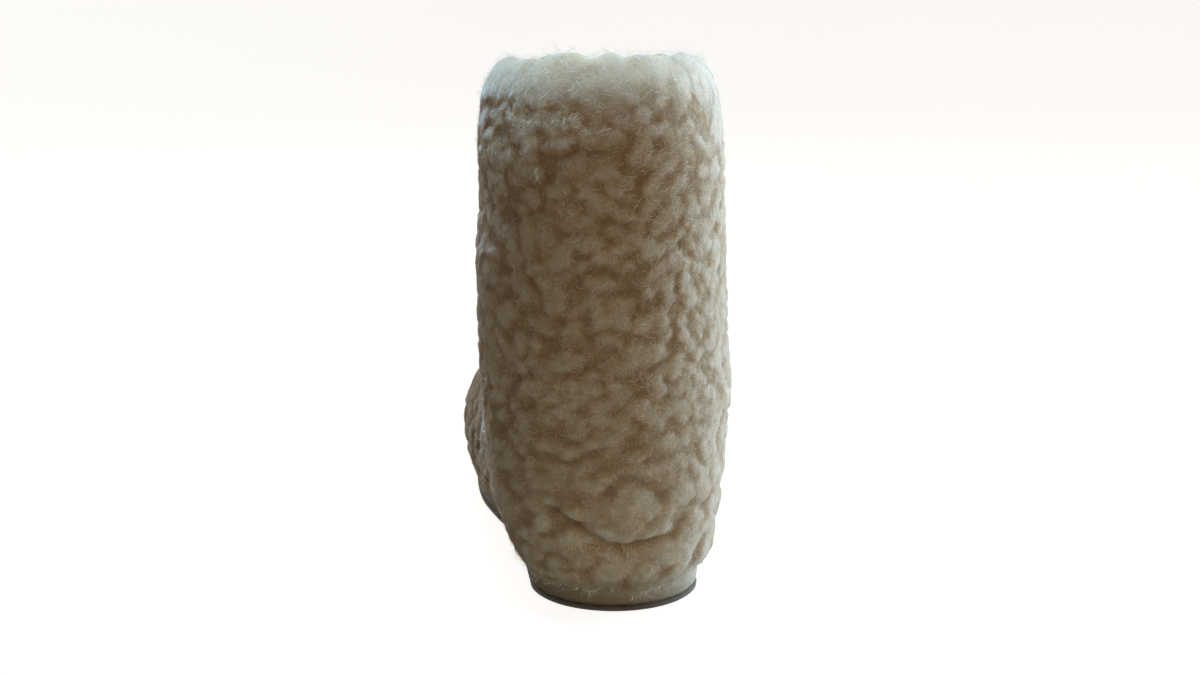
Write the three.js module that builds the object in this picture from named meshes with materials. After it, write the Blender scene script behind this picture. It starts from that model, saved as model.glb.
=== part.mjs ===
// Wool slipper boot for the right foot. A deep pile upper, open at the collar and underneath, stands on a
// cloth-wrapped midsole with a thin grip outsole below it and a pile insole inside.
// Millimetres, +Z up, +Y from heel to toe, +X to the wearer's right, which is the outer side of this foot.
// The origin is on the floor under the middle of the heel.
import * as THREE from 'three';

// Driving dimensions.
const SOLE_LENGTH = 262;
const BALL_WIDTH = 100;
const BOOT_HEIGHT = 230;
const WALL = 8; // pile, backing and lining together
const COLLAR_WALL = 17; // the same wall where the pile turns over the collar
const COLLAR_FADE = 40; // height over which the wall thickens to that
const RIM_RISE = 17; // height of the collar's rounded top
const RIM_PEAK = 0.72; // where the collar is highest, as a share of its width from outside
const RIM_DIP = { inner: 3, outer: 2, front: 4 }; // how much lower the collar is there than at the back
const OUTSOLE_THICKNESS = 2.2;
const MIDSOLE_THICKNESS = 10;
const INSOLE_THICKNESS = 6;
const SEAT_GAP = 0.3; // left between pieces that meet

// The last: how the foot bends along its length.
const HEEL_SEAT = 36; // middle of the heel, from the sole's back end
const TOE_SPRING = 9;
const SPRING_START = 186; // the forefoot is flat up to here
const ARCH_RISE = 2;
const ARCH_START = 62; // the heel is flat up to here
const ARCH_END = 132; // and the forefoot from here
const TOE_INFLARE = 8; // how far the toe swings to the inner side
const BALL_LEAD = 0.06; // the inner ball joint lies ahead, the outer one behind, as a share of the flank
const OUTER_TUCK = 0.3; // share of the waist's tuck that the outer side has
const TOE_FULLNESS = { inner: 0.45, outer: 0.2 }; // added to the power of an ellipse for a whole foot's flank
const SPRING_FADE = 80; // height over which the wall loses the sole's lift

// Derived heights above the floor, on the flat of the sole.
const MIDSOLE_BASE = OUTSOLE_THICKNESS + SEAT_GAP;
const FEATHER = MIDSOLE_BASE + MIDSOLE_THICKNESS + SEAT_GAP; // where upper and insole stand on the midsole

// Edge of the sole. Stations are shares of SOLE_LENGTH from its back end; half widths and the sideways lean
// of the section are shares of half BALL_WIDTH.
const SOLE_EDGE = {
  back: 0,
  heelAt: 0.138,
  ballAt: 0.63,
  front: 1,
  heel: 0.74,
  ball: 0.97,
  waist: 0.07,
  lean: 0,
};

// Sections of the upper's outer face, level by level; height is a share of BOOT_HEIGHT, the rest as above.
const SECTION_COLUMNS = ['height', 'back', 'heelAt', 'ballAt', 'front', 'heel', 'ball', 'waist', 'lean'];
const UPPER_SECTIONS = [
  [0.056, -0.008, 0.138, 0.628, 1.008, 0.79, 0.99, 0.05, -0.01],
  [0.096, -0.023, 0.140, 0.627, 1.022, 0.88, 1.04, 0.01, -0.02],
  [0.139, -0.031, 0.145, 0.622, 1.027, 0.94, 1.06, 0, -0.03],
  [0.183, -0.036, 0.153, 0.612, 1.020, 0.98, 1.05, 0, -0.04],
  [0.221, -0.040, 0.160, 0.597, 0.996, 1.01, 1.02, 0, -0.04],
  [0.257, -0.042, 0.168, 0.574, 0.953, 1.03, 0.98, 0, -0.04],
  [0.292, -0.043, 0.175, 0.540, 0.890, 1.05, 0.94, 0, -0.04],
  [0.334, -0.043, 0.183, 0.478, 0.784, 1.07, 0.92, 0, -0.04],
  [0.378, -0.044, 0.190, 0.405, 0.672, 1.08, 0.92, 0, -0.04],
  [0.435, -0.044, 0.195, 0.328, 0.572, 1.09, 0.96, 0, -0.05],
  [0.505, -0.044, 0.198, 0.260, 0.502, 1.09, 1.04, 0, -0.06],
  [0.610, -0.043, 0.199, 0.206, 0.456, 1.08, 1.08, 0, -0.07],
  [0.740, -0.042, 0.200, 0.200, 0.441, 1.07, 1.07, 0, -0.08],
  [0.870, -0.041, 0.201, 0.201, 0.442, 1.05, 1.05, 0, -0.08],
  [1.000, -0.039, 0.202, 0.202, 0.445, 1.03, 1.03, 0, -0.08],
].map((row) => Object.fromEntries(SECTION_COLUMNS.map((column, index) => [column, row[index]])));

// Folds where the soft shaft sags. turn runs round the boot from the back, outer side first; spread is its
// half width in turns, height and width are in millimetres, and relief is how far the wall moves out.
const FOLDS = [
  { name: 'heel crease', turn: -0.03, spread: 0.19, height: 34, width: 5, relief: -3.6 },
  { name: 'heel roll', turn: -0.02, spread: 0.20, height: 47, width: 9, relief: 2.2 },
  { name: 'back crease', turn: 0.03, spread: 0.09, height: 63, width: 5, relief: -2.2 },
  { name: 'ankle swell', turn: 0.22, spread: 0.14, height: 86, width: 13, relief: 1.6 },
  { name: 'inner shaft dent', turn: -0.22, spread: 0.13, height: 172, width: 16, relief: -2.5 },
];

// Locks of pile on the outer face. Each hangs from its middle: a long root above, a short tip below.
const LOCK_SIZE = 15;
const LOCK_RELIEF = 3.2; // from the partings to the crown of a lock
const LOCK_SINK = 0.5; // share of that which lies inside the smooth wall
const LOCK_ROOT = 1.2; // how far a lock reaches up and down, in lock sizes
const LOCK_TIP = 0.75;
const SCATTER = { x: 127.1, y: 311.7, z: 74.7, axis: 269.5, gain: 43758.5453 };

// Side profiles of the flat pieces, from bottom to top: rise is a share of the thickness, inset is in mm.
const OUTSOLE_PROFILE = [
  { rise: 0, inset: 1.2 },
  { rise: 0.3, inset: 0.3 },
  { rise: 0.75, inset: 0.2 },
  { rise: 1, inset: 0.9 },
];
const MIDSOLE_PROFILE = [
  { rise: 0, inset: 1.8 },
  { rise: 0.14, inset: 0.6 },
  { rise: 0.42, inset: 0 },
  { rise: 0.72, inset: 0.3 },
  { rise: 0.9, inset: 1.1 },
  { rise: 1, inset: 2.4 },
];
const INSOLE_PROFILE = [
  { rise: 0, inset: 0.6 },
  { rise: 0.5, inset: 0 },
  { rise: 1.15, inset: 1 },
  { rise: 1.35, inset: 4 },
  { rise: 1.15, inset: 10 },
  { rise: 1, inset: 18 },
];

// Mesh density.
const COLUMNS = 72;
const OUTER_ROWS = { low: 15, middle: 11, high: 15 }; // below the vamp's middle, on it and up the shaft
const LOW_TOP = 70;
const MIDDLE_TOP = 120;
const RIM_ROWS = 7;
const INNER_ROWS = 14;
const NORMAL_STEP = { turn: 0.004, height: 1 }; // between the points that a normal is worked out from

const { clamp, lerp, smoothstep, euclideanModulo } = THREE.MathUtils;

// Rise of the sole's underside at a station: level heel and forefoot, a low arch between, and the toe spring.
function soleLift(station) {
  const spring = Math.max(0, (station - SPRING_START) / (SOLE_LENGTH - SPRING_START));
  const middle = (ARCH_START + ARCH_END) / 2;
  const arch = smoothstep(station, ARCH_START, middle) * (1 - smoothstep(station, middle, ARCH_END));
  return TOE_SPRING * spring ** 2 + ARCH_RISE * arch;
}

// A section in millimetres from a row of shares.
function scaleSection(row) {
  const half = BALL_WIDTH / 2;
  return {
    back: row.back * SOLE_LENGTH,
    heelAt: row.heelAt * SOLE_LENGTH,
    ballAt: row.ballAt * SOLE_LENGTH,
    front: row.front * SOLE_LENGTH,
    heel: row.heel * half,
    ball: row.ball * half,
    waist: row.waist * half,
    lean: row.lean * half,
  };
}

// The same section with its edge moved in all round.
function insetSection(section, inset) {
  return {
    ...section,
    back: section.back + inset,
    front: section.front - inset,
    heel: section.heel - inset,
    ball: section.ball - inset,
  };
}

// Slope of a column at a row of the section table, from the rows on both sides of it.
function columnSlope(index, column) {
  const below = UPPER_SECTIONS[Math.max(index - 1, 0)];
  const above = UPPER_SECTIONS[Math.min(index + 1, UPPER_SECTIONS.length - 1)];
  return (above[column] - below[column]) / (above.height - below.height);
}

// The upper's section at a height: a cubic through the rows of the table, column by column.
function upperSection(height) {
  const share = height / BOOT_HEIGHT;
  const found = UPPER_SECTIONS.findIndex((row) => row.height >= share);
  const next = found < 0 ? UPPER_SECTIONS.length - 1 : Math.max(found, 1);
  const [low, high] = [UPPER_SECTIONS[next - 1], UPPER_SECTIONS[next]];
  const span = high.height - low.height;
  const t = clamp((share - low.height) / span, 0, 1);
  const row = {};
  for (const column of Object.keys(SOLE_EDGE)) {
    row[column] =
      low[column] * (1 + 2 * t) * (1 - t) ** 2 +
      columnSlope(next - 1, column) * span * t * (1 - t) ** 2 +
      high[column] * t ** 2 * (3 - 2 * t) +
      columnSlope(next, column) * span * t ** 2 * (t - 1);
  }
  return scaleSection(row);
}

// Length of a quarter of an ellipse, near enough to share out points.
function quarterLength(a, b) {
  return (Math.PI / 2) * Math.sqrt((a * a + b * b) / 2);
}

// A point on a section's outline. turn runs from 0 at the back along the outer side to 0.5 at the front, and
// home along the inner side. Each side is a heel arc, an eased flank and a toe arc, shared out by length.
function outlinePoint(section, turn) {
  const whole = euclideanModulo(turn, 1);
  const outer = whole <= 0.5;
  const lead = BALL_LEAD * (section.ballAt - section.heelAt);
  const ballAt = section.ballAt + (outer ? -lead : lead);
  const flank = ballAt - section.heelAt;
  const fullness = outer ? TOE_FULLNESS.outer : TOE_FULLNESS.inner;
  const power = 2 + (fullness * flank) / (SOLE_LENGTH / 2);
  const heelArc = quarterLength(section.heelAt - section.back, section.heel);
  const toeArc = quarterLength(section.front - ballAt, section.ball);
  const travel = (outer ? 2 * whole : 2 - 2 * whole) * (heelArc + flank + toeArc);
  let station;
  let half;
  if (travel < heelArc) {
    const angle = (travel / heelArc) * (Math.PI / 2);
    station = section.heelAt - (section.heelAt - section.back) * Math.cos(angle);
    half = section.heel * Math.sin(angle);
  } else if (travel < heelArc + flank) {
    const share = (travel - heelArc) / flank;
    const tuck = (outer ? OUTER_TUCK : 1) * section.waist * Math.sin(Math.PI * share) ** 2;
    station = section.heelAt + share * flank;
    half = lerp(section.heel, section.ball, smoothstep(share, 0, 1)) - tuck;
  } else {
    const angle = Math.min((travel - heelArc - flank) / toeArc, 1) * (Math.PI / 2);
    station = ballAt + (section.front - ballAt) * Math.sin(angle) ** (2 / power);
    half = section.ball * Math.max(Math.cos(angle), 0) ** (2 / power);
  }
  const reach = Math.max(0, (station - section.heelAt) / (SOLE_LENGTH - section.heelAt));
  return { x: section.lean + (outer ? half : -half) - TOE_INFLARE * reach ** 2, station };
}

// The upper's smooth outer face at a turn round the boot and a height on the flat of the sole.
function wallPoint(turn, height) {
  const { x, station } = outlinePoint(upperSection(height), turn);
  const hold = 1 - smoothstep(height, FEATHER, FEATHER + SPRING_FADE);
  return new THREE.Vector3(x, station - HEEL_SEAT, height + soleLift(station) * hold);
}

// Its outward normal, from neighbouring points.
function wallNormal(turn, height) {
  const { turn: turnStep, height: heightStep } = NORMAL_STEP;
  const around = wallPoint(turn + turnStep, height).sub(wallPoint(turn - turnStep, height));
  const up = wallPoint(turn, height + heightStep).sub(wallPoint(turn, height - heightStep));
  return around.cross(up).normalize();
}

// How far the folds move the wall out at a place: soft troughs and ridges that fade round the boot.
function foldRelief(turn, height) {
  let relief = 0;
  for (const fold of FOLDS) {
    const away = Math.abs(euclideanModulo(turn - fold.turn + 0.5, 1) - 0.5) / fold.spread;
    const across = (height - fold.height) / fold.width;
    relief += away < 1 ? fold.relief * Math.cos((away * Math.PI) / 2) ** 2 * Math.exp(-(across ** 2)) : 0;
  }
  return relief;
}

// A fixed number from 0 to 1 for a cell of space and one of its axes.
function scatter(cell, axis) {
  const sum = cell.x * SCATTER.x + cell.y * SCATTER.y + cell.z * SCATTER.z + axis * SCATTER.axis;
  return euclideanModulo(Math.sin(sum) * SCATTER.gain, 1);
}

// How far a lock of pile stands out at a place: 1 on the crown of a lock, 0 in the partings. Space is cut
// into cells with one crown scattered in each, and a place belongs to the crown that is nearest.
function lockRelief(point) {
  const place = point.clone().divideScalar(LOCK_SIZE);
  const home = place.clone().floor();
  let nearest = Infinity;
  for (let index = 0; index < 27; index += 1) {
    const step = new THREE.Vector3(index % 3, Math.floor(index / 3) % 3, Math.floor(index / 9)).subScalar(1);
    const cell = home.clone().add(step);
    const crown = new THREE.Vector3(scatter(cell, 1), scatter(cell, 2), scatter(cell, 3)).add(cell);
    const away = place.clone().sub(crown);
    away.z /= away.z > 0 ? LOCK_ROOT : LOCK_TIP;
    nearest = Math.min(nearest, away.lengthSq());
  }
  return Math.max(0, 1 - nearest);
}

// How far the locks move a place out of the smooth face, or in at the partings.
function lockOffset(point) {
  return LOCK_RELIEF * (lockRelief(point) - LOCK_SINK);
}

// The outer face with its folds and locks; both fade out at the sole, where the wall is lasted flat.
function outerPoint(turn, height) {
  const point = wallPoint(turn, height);
  const free = smoothstep(height, FEATHER, FEATHER + LOCK_SIZE / 2);
  const relief = foldRelief(turn, height) + lockOffset(point);
  return point.addScaledVector(wallNormal(turn, height), free * relief);
}

// Wall thickness at a height: even, then thicker where the pile turns in at the collar.
function wallThickness(height) {
  return lerp(WALL, COLLAR_WALL, smoothstep(height, BOOT_HEIGHT - COLLAR_FADE, BOOT_HEIGHT - RIM_RISE));
}

// The inner face. Its foot stands on the midsole, as the outer face's does.
function innerPoint(turn, height) {
  const point = wallPoint(turn, height).addScaledVector(wallNormal(turn, height), -wallThickness(height));
  if (height <= FEATHER) {
    point.z = FEATHER + soleLift(point.y + HEEL_SEAT);
  }
  return point;
}

// The rounded collar between the two faces, from 0 outside to 1 inside: a quarter of a wide ellipse up to the
// peak and a quarter of a narrow one down from it.
function rimPoint(turn, share) {
  const base = BOOT_HEIGHT - RIM_RISE;
  const angle = Math.PI * share;
  const reach = angle < Math.PI / 2 ? RIM_PEAK : 1 - RIM_PEAK;
  const point = outerPoint(turn, base).lerp(innerPoint(turn, base), RIM_PEAK - reach * Math.cos(angle));
  const side = Math.sin(2 * Math.PI * turn);
  const ahead = Math.max(0, -Math.cos(2 * Math.PI * turn));
  const dip = (side > 0 ? RIM_DIP.outer : RIM_DIP.inner) * side ** 2 + RIM_DIP.front * ahead ** 2;
  point.z += (RIM_RISE - dip + lockOffset(point)) * Math.sin(angle);
  return point;
}

// A loop of points round the boot.
function loopOf(pointAt) {
  return Array.from({ length: COLUMNS }, (_, column) => pointAt(column / COLUMNS));
}

// Evenly spaced values from first to last, both included.
function evenly(first, last, count) {
  return Array.from({ length: count }, (_, index) => lerp(first, last, index / (count - 1)));
}

// A closed surface through a stack of loops that run anticlockwise from above. An open stack gets a cap of
// strips across the boot at each end; a ring joins its last loop to its first.
function skin(loops, { ring }) {
  const indices = [];
  const at = (row, column) => (row % loops.length) * COLUMNS + (column % COLUMNS);
  for (let row = 0; row < loops.length - (ring ? 0 : 1); row += 1) {
    for (let column = 0; column < COLUMNS; column += 1) {
      const [a, b] = [at(row, column), at(row, column + 1)];
      const [c, d] = [at(row + 1, column + 1), at(row + 1, column)];
      indices.push(a, b, c, a, c, d);
    }
  }
  const cap = (row, up) => {
    for (let column = 0; column < COLUMNS / 2; column += 1) {
      const [a, b] = [at(row, column), at(row, column + 1)];
      const [c, d] = [at(row, COLUMNS - column - 1), at(row, COLUMNS - column)];
      for (const triangle of [[a, b, c], [a, c, d]]) {
        if (new Set(triangle).size === 3) {
          indices.push(...(up ? triangle : triangle.reverse()));
        }
      }
    }
  };
  if (!ring) {
    cap(0, false);
    cap(loops.length - 1, true);
  }
  const geometry = new THREE.BufferGeometry().setFromPoints(loops.flat());
  geometry.setIndex(indices);
  geometry.computeVertexNormals();
  return geometry;
}

// A flat piece of the sole: its edge profile carried round an outline that follows the sole's lift.
function soleLayer(edge, profile, base, thickness) {
  const loops = profile.map(({ rise, inset }) => {
    const section = insetSection(edge, inset);
    return loopOf((turn) => {
      const { x, station } = outlinePoint(section, turn);
      return new THREE.Vector3(x, station - HEEL_SEAT, base + rise * thickness + soleLift(station));
    });
  });
  return skin(loops, { ring: false });
}

// The upper: outer face from the sole to the collar, over the rim, and down the inner face.
function upperShell() {
  const base = BOOT_HEIGHT - RIM_RISE;
  const outerHeights = [
    ...evenly(FEATHER, LOW_TOP, OUTER_ROWS.low + 1).slice(0, -1),
    ...evenly(LOW_TOP, MIDDLE_TOP, OUTER_ROWS.middle + 1).slice(0, -1),
    ...evenly(MIDDLE_TOP, base, OUTER_ROWS.high + 1),
  ];
  const rimShares = evenly(0, 1, RIM_ROWS + 2).slice(1, -1);
  const innerHeights = evenly(base, FEATHER, INNER_ROWS);
  const loops = [
    ...outerHeights.map((height) => loopOf((turn) => outerPoint(turn, height))),
    ...rimShares.map((share) => loopOf((turn) => rimPoint(turn, share))),
    ...innerHeights.map((height) => loopOf((turn) => innerPoint(turn, height))),
  ];
  return skin(loops, { ring: true });
}

// A named piece with its own finish.
function piece(name, geometry, color, roughness) {
  const material = new THREE.MeshStandardMaterial({ color, roughness, metalness: 0 });
  const mesh = new THREE.Mesh(geometry, material);
  mesh.name = name;
  return mesh;
}

const soleEdge = scaleSection(SOLE_EDGE);
const insoleEdge = insetSection(upperSection(FEATHER), WALL + 2 * SEAT_GAP);

const boot = new THREE.Group();
boot.name = 'wool_slipper_boot';
boot.add(
  piece('outsole', soleLayer(soleEdge, OUTSOLE_PROFILE, 0, OUTSOLE_THICKNESS), 0x4a443c, 0.9),
  piece('midsole', soleLayer(soleEdge, MIDSOLE_PROFILE, MIDSOLE_BASE, MIDSOLE_THICKNESS), 0xb9b09a, 0.85),
  piece('insole', soleLayer(insoleEdge, INSOLE_PROFILE, FEATHER, INSOLE_THICKNESS), 0xd8cbb2, 1),
  piece('upper', upperShell(), 0xcbbb9e, 1),
);

export default boot;
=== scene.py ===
"""Looks of the wool slipper boot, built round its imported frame.

Metres, +Z up, +Y from heel to toe, +X to the wearer's right, which is the outer side of this right foot.
The last, a table of sections, gives every piece its form; the fleece adds folds, clumps, curls and fibres.
"""

from __future__ import annotations

import logging
import math
from dataclasses import dataclass, replace
from enum import Enum
from functools import cache
from typing import Any, Callable

import bpy
import numpy as np
from mathutils import Euler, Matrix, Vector
from numpy.typing import NDArray


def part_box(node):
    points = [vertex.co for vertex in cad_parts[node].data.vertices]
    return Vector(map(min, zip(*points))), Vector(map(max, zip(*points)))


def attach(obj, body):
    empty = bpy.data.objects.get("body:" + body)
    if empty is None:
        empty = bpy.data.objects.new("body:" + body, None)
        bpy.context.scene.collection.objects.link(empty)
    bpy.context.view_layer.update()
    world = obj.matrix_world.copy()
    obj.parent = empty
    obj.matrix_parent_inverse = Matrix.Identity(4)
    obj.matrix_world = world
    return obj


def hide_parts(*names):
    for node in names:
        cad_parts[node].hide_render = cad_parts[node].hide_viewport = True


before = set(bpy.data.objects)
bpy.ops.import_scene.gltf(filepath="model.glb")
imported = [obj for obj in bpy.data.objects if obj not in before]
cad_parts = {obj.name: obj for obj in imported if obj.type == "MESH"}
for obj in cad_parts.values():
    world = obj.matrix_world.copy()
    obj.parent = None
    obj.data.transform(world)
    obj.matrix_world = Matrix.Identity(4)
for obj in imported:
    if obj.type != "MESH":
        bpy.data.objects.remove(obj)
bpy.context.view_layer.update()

Array = NDArray[np.float64]
Indices = NDArray[np.int64]
Colour = tuple[float, float, float]
Place = tuple[float, float, float]
Range = tuple[float, float]
Path = tuple[tuple[float, float], ...]
Socket = bpy.types.NodeSocket

MM = 0.001
TINY = 1e-12
WELD_STEP = 1e-8
UP: Array = np.array([0.0, 0.0, 1.0])
BODY = "root"
TONE = "tone"
PRINCIPLED = "ShaderNodeBsdfPrincipled"
LOG = logging.getLogger("wool_slipper_boot")

# Odd numbers and a shift that mix a cell's place into its own number, and the bits that a float keeps of it.
CELL_FACTORS: NDArray[np.uint64] = np.array([73856093, 19349663, 83492791], dtype=np.uint64)
SALT_FACTOR = 2654435761
MIX_FACTOR = np.uint64(0xFF51AFD7ED558CCD)
MIX_SHIFT = np.uint64(33)
MIX_ROUNDS = 2
FLOAT_BITS = 53

# The drift's second sine: its length and its reach as shares of the first's. Then where the two start.
DRIFT_SHARES: Range = (0.57, 0.5)
DRIFT_STARTS: Range = (1.3, 4.1)


# Curves and numbers


def smooth(value: Array, low: float, high: float) -> Array:
    """Eased step: 0 below low, 1 above high, and 3t^2 - 2t^3 between them."""
    share = np.clip((value - low) / (high - low), 0.0, 1.0)
    return share * share * (3.0 - 2.0 * share)


def bell(value: Array, width: float) -> Array:
    """A bell round 0: exp(-(value / width)^2)."""
    return np.exp(-((value / width) ** 2))


def on_back(points: Array, full: float, none: float) -> Array:
    """Share of a mark that the boot's back alone carries: 1 behind full, 0 ahead of none, eased between."""
    return 1.0 - smooth(points[..., 1], full, none)


def unit(vectors: Array) -> Array:
    """Vectors along the last axis, scaled to length 1."""
    return vectors / np.maximum(np.linalg.norm(vectors, axis=-1, keepdims=True), TINY)


def in_metres(*places: tuple[float, float]) -> Path:
    """A path whose places are given in millimetres."""
    return tuple((first * MM, second * MM) for first, second in places)


def quarter_length(a: Array, b: Array) -> Array:
    """Length of a quarter of an ellipse with half axes a and b, near enough to share out points."""
    return (math.pi / 2) * np.sqrt((a * a + b * b) / 2)


def cubic(knots: Array, values: Array, slopes: Array, at: Array) -> Array:
    """A curve through rows of values: on each stretch the cubic that has their values and slopes at its ends.

    Args:
        knots: Where the rows stand, rising.
        values: One row for each knot.
        slopes: The rows' slopes.
        at: Where the curve is read. It stays level past the ends.

    Returns:
        A row for each place that is read.
    """
    after = np.clip(np.searchsorted(knots, at), 1, len(knots) - 1)
    span = (knots[after] - knots[after - 1])[..., None]
    t = np.clip((at - knots[after - 1])[..., None] / span, 0.0, 1.0)
    ends = values[after - 1] * (1 + 2 * t) * (1 - t) ** 2 + values[after] * t**2 * (3 - 2 * t)
    return ends + span * (slopes[after - 1] * t * (1 - t) ** 2 + slopes[after] * t**2 * (t - 1))


def scatter(cells: Indices, salt: int) -> Array:
    """A fixed number from 0 to 1 for each cell: its three whole numbers mixed by odd multipliers and shifts.

    Args:
        cells: Whole numbers, three along the last axis.
        salt: Gives another set of numbers.

    Returns:
        Numbers that look random and are the same on each run.
    """
    key = np.bitwise_xor.reduce(cells.astype(np.int64).astype(np.uint64) * CELL_FACTORS, axis=-1)
    key ^= np.uint64(salt * SALT_FACTOR)
    for _ in range(MIX_ROUNDS):
        key ^= key >> MIX_SHIFT
        key *= MIX_FACTOR
    return (key >> np.uint64(64 - FLOAT_BITS)).astype(np.float64) / float(1 << FLOAT_BITS)


def drift(points: Array, wave: float, reach: float) -> Array:
    """Slow sideways drift: each coordinate moves by two sines of the other coordinates.

    Args:
        points: Places, three numbers along the last axis.
        wave: Length of the slower sine.
        reach: How far it moves a place.

    Returns:
        The moved places.
    """
    slow = points[..., [1, 2, 0]] * (2.0 * math.pi / wave)
    quick = points[..., [2, 0, 1]] * (2.0 * math.pi / (DRIFT_SHARES[0] * wave))
    first = reach * np.sin(slow + DRIFT_STARTS[0])
    return points + first + DRIFT_SHARES[1] * reach * np.sin(quick + DRIFT_STARTS[1])


# Meshes


def halved(a: Indices, b: Indices, c: Indices, d: Indices) -> Indices:
    """Two triangles for each cell of a grid, from the numbers of its corners, anticlockwise."""
    return np.stack([np.stack([a, b, c], -1), np.stack([a, c, d], -1)], 2).reshape(-1, 3)


def grid_faces(rows: int, columns: int, ring: bool) -> Indices:
    """Triangles of a grid whose columns close round on themselves.

    Args:
        rows: Rows of points.
        columns: Points in each row.
        ring: True to join the last row to the first.

    Returns:
        Three point numbers for each triangle, anticlockwise from the outside.
    """
    row = np.arange(rows if ring else rows - 1)[:, None]
    column = np.arange(columns)[None, :]
    here, above = row * columns, (row + 1) % rows * columns
    beside = (column + 1) % columns
    return halved(here + column, here + beside, above + beside, above + column)


def grid_normals(points: Array) -> Array:
    """Outward normals of a grid that closes round the boot, from its neighbours' differences."""
    around = np.roll(points, -1, axis=1) - np.roll(points, 1, axis=1)
    return unit(np.cross(around, np.gradient(points, axis=0)))


def weld(points: Array, faces: Indices) -> tuple[Array, Indices]:
    """Joins points that lie in one place and drops the faces that this closes up.

    Args:
        points: Points, three numbers each.
        faces: Triangles.

    Returns:
        The points that are left, and the triangles between them.
    """
    places = np.round(points / WELD_STEP).astype(np.int64)
    _, first, back = np.unique(places, axis=0, return_index=True, return_inverse=True)
    faces = back.reshape(-1)[faces]
    whole = np.all(faces != np.roll(faces, 1, axis=1), axis=1)
    return points[first], faces[whole]


def make_object(name: str, points: Array, faces: Indices, tone: Array | None = None) -> bpy.types.Object:
    """A mesh object at the origin from arrays.

    Args:
        name: The piece's name.
        points: Points, three numbers each, in metres.
        faces: Point numbers, three or four for each face.
        tone: A number for each point, kept as an attribute that its material reads.

    Returns:
        The object, linked into the scene, shaded smooth.
    """
    mesh = bpy.data.meshes.new(name)
    mesh.vertices.add(len(points))
    mesh.vertices.foreach_set("co", points.astype(np.float32).ravel())
    mesh.loops.add(faces.size)
    mesh.loops.foreach_set("vertex_index", faces.astype(np.int32).ravel())
    mesh.polygons.add(len(faces))
    mesh.polygons.foreach_set("loop_start", np.arange(0, faces.size, faces.shape[1], dtype=np.int32))
    mesh.update(calc_edges=True)
    mesh.shade_smooth()
    if tone is not None:
        attribute = mesh.attributes.new(TONE, "FLOAT", "POINT")
        attribute.data.foreach_set("value", tone.astype(np.float32).ravel())
    piece = bpy.data.objects.new(name, mesh)
    bpy.context.scene.collection.objects.link(piece)
    return piece


def dress(piece: bpy.types.Object, finish: Finish, slot: str, *nodes: str) -> bpy.types.Object:
    """Gives a piece its finish and its place on the body.

    Args:
        piece: The finished object.
        finish: What it is made of.
        slot: The record's material slot; not used.
        nodes: CAD nodes that it stands for.

    Returns:
        The same object.
    """
    piece.data.materials.append(finish.material())
    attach(piece, BODY)
    if nodes:
        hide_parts(*nodes)
    LOG.info("%s: %d faces", piece.name, len(piece.data.polygons))
    return piece


# Finishes


class NodeSheet:
    """A material's node tree, built a node at a time."""

    def __init__(self, name: str) -> None:
        """Starts an empty material with an output.

        Args:
            name: The material's name.
        """
        self.made = bpy.data.materials.new(name)
        self.made.use_nodes = True
        self.tree = self.made.node_tree
        self.tree.nodes.clear()
        self.output = self.tree.nodes.new("ShaderNodeOutputMaterial")

    def add(self, kind: str, values: dict[Any, Any] | None = None, **settings: Any) -> bpy.types.Node:
        """A new node.

        Args:
            kind: Its type name.
            values: What its inputs hold or are linked to, by input name or number.
            settings: Its own properties.

        Returns:
            The node.
        """
        node = self.tree.nodes.new(kind)
        for key, value in settings.items():
            setattr(node, key, value)
        for key, value in (values or {}).items():
            if isinstance(value, Socket):
                self.tree.links.new(value, node.inputs[key])
            else:
                node.inputs[key].default_value = value
        return node

    def ramp(self, source: Socket, stops: list[tuple[float, Colour]]) -> Socket:
        """A run of colours.

        Args:
            source: A number from 0 to 1.
            stops: Places on the run and their colours.

        Returns:
            The colour at the number.
        """
        node = self.add("ShaderNodeValToRGB", {"Fac": source})
        elements = node.color_ramp.elements
        while len(elements) < len(stops):
            elements.new(0.5)
        for element, (place, colour) in zip(elements, stops):
            element.position = place
            element.color = (*colour, 1.0)
        return node.outputs["Color"]

    def noise(
        self, wave: float, detail: float = 3.0, swirl: float = 0.0, stretch: Place | None = None
    ) -> Socket:
        """Cloudy noise in the piece's own coordinates.

        Args:
            wave: Size of a cloud, in metres.
            detail: How many finer layers it has.
            swirl: How far the clouds are drawn out into wisps.
            stretch: Scale along each axis, where they differ.

        Returns:
            The noise, from 0 to 1.
        """
        place = self.add("ShaderNodeTexCoord").outputs["Object"]
        if stretch is not None:
            place = self.add("ShaderNodeMapping", {"Vector": place, "Scale": stretch}).outputs["Vector"]
        values = {"Vector": place, "Scale": 1.0 / wave, "Detail": detail, "Distortion": swirl}
        return self.add("ShaderNodeTexNoise", values).outputs["Fac"]

    def bump(self, height: Socket, depth: float, under: Socket | None = None) -> Socket:
        """A bumped normal.

        Args:
            height: Relief from 0 to 1.
            depth: What 1 stands for, in metres.
            under: A bumped normal that this one adds to.

        Returns:
            The normal.
        """
        values = {"Height": height, "Distance": depth}
        if under is not None:
            values["Normal"] = under
        return self.add("ShaderNodeBump", values).outputs["Normal"]

    def spread(self, source: Socket, low: float, high: float) -> Socket:
        """A number from 0 to 1 spread over the run from low to high."""
        values = {"Value": source, "To Min": low, "To Max": high}
        return self.add("ShaderNodeMapRange", values).outputs["Result"]

    def added(self, first: Socket, second: Socket) -> Socket:
        """The sum of two numbers."""
        return self.add("ShaderNodeMath", {0: first, 1: second}, operation="ADD").outputs[0]

    def finish(self, shader: bpy.types.Node) -> bpy.types.Material:
        """Links a shader to the output and gives the material back."""
        self.tree.links.new(shader.outputs[0], self.output.inputs["Surface"])
        return self.made


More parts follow.
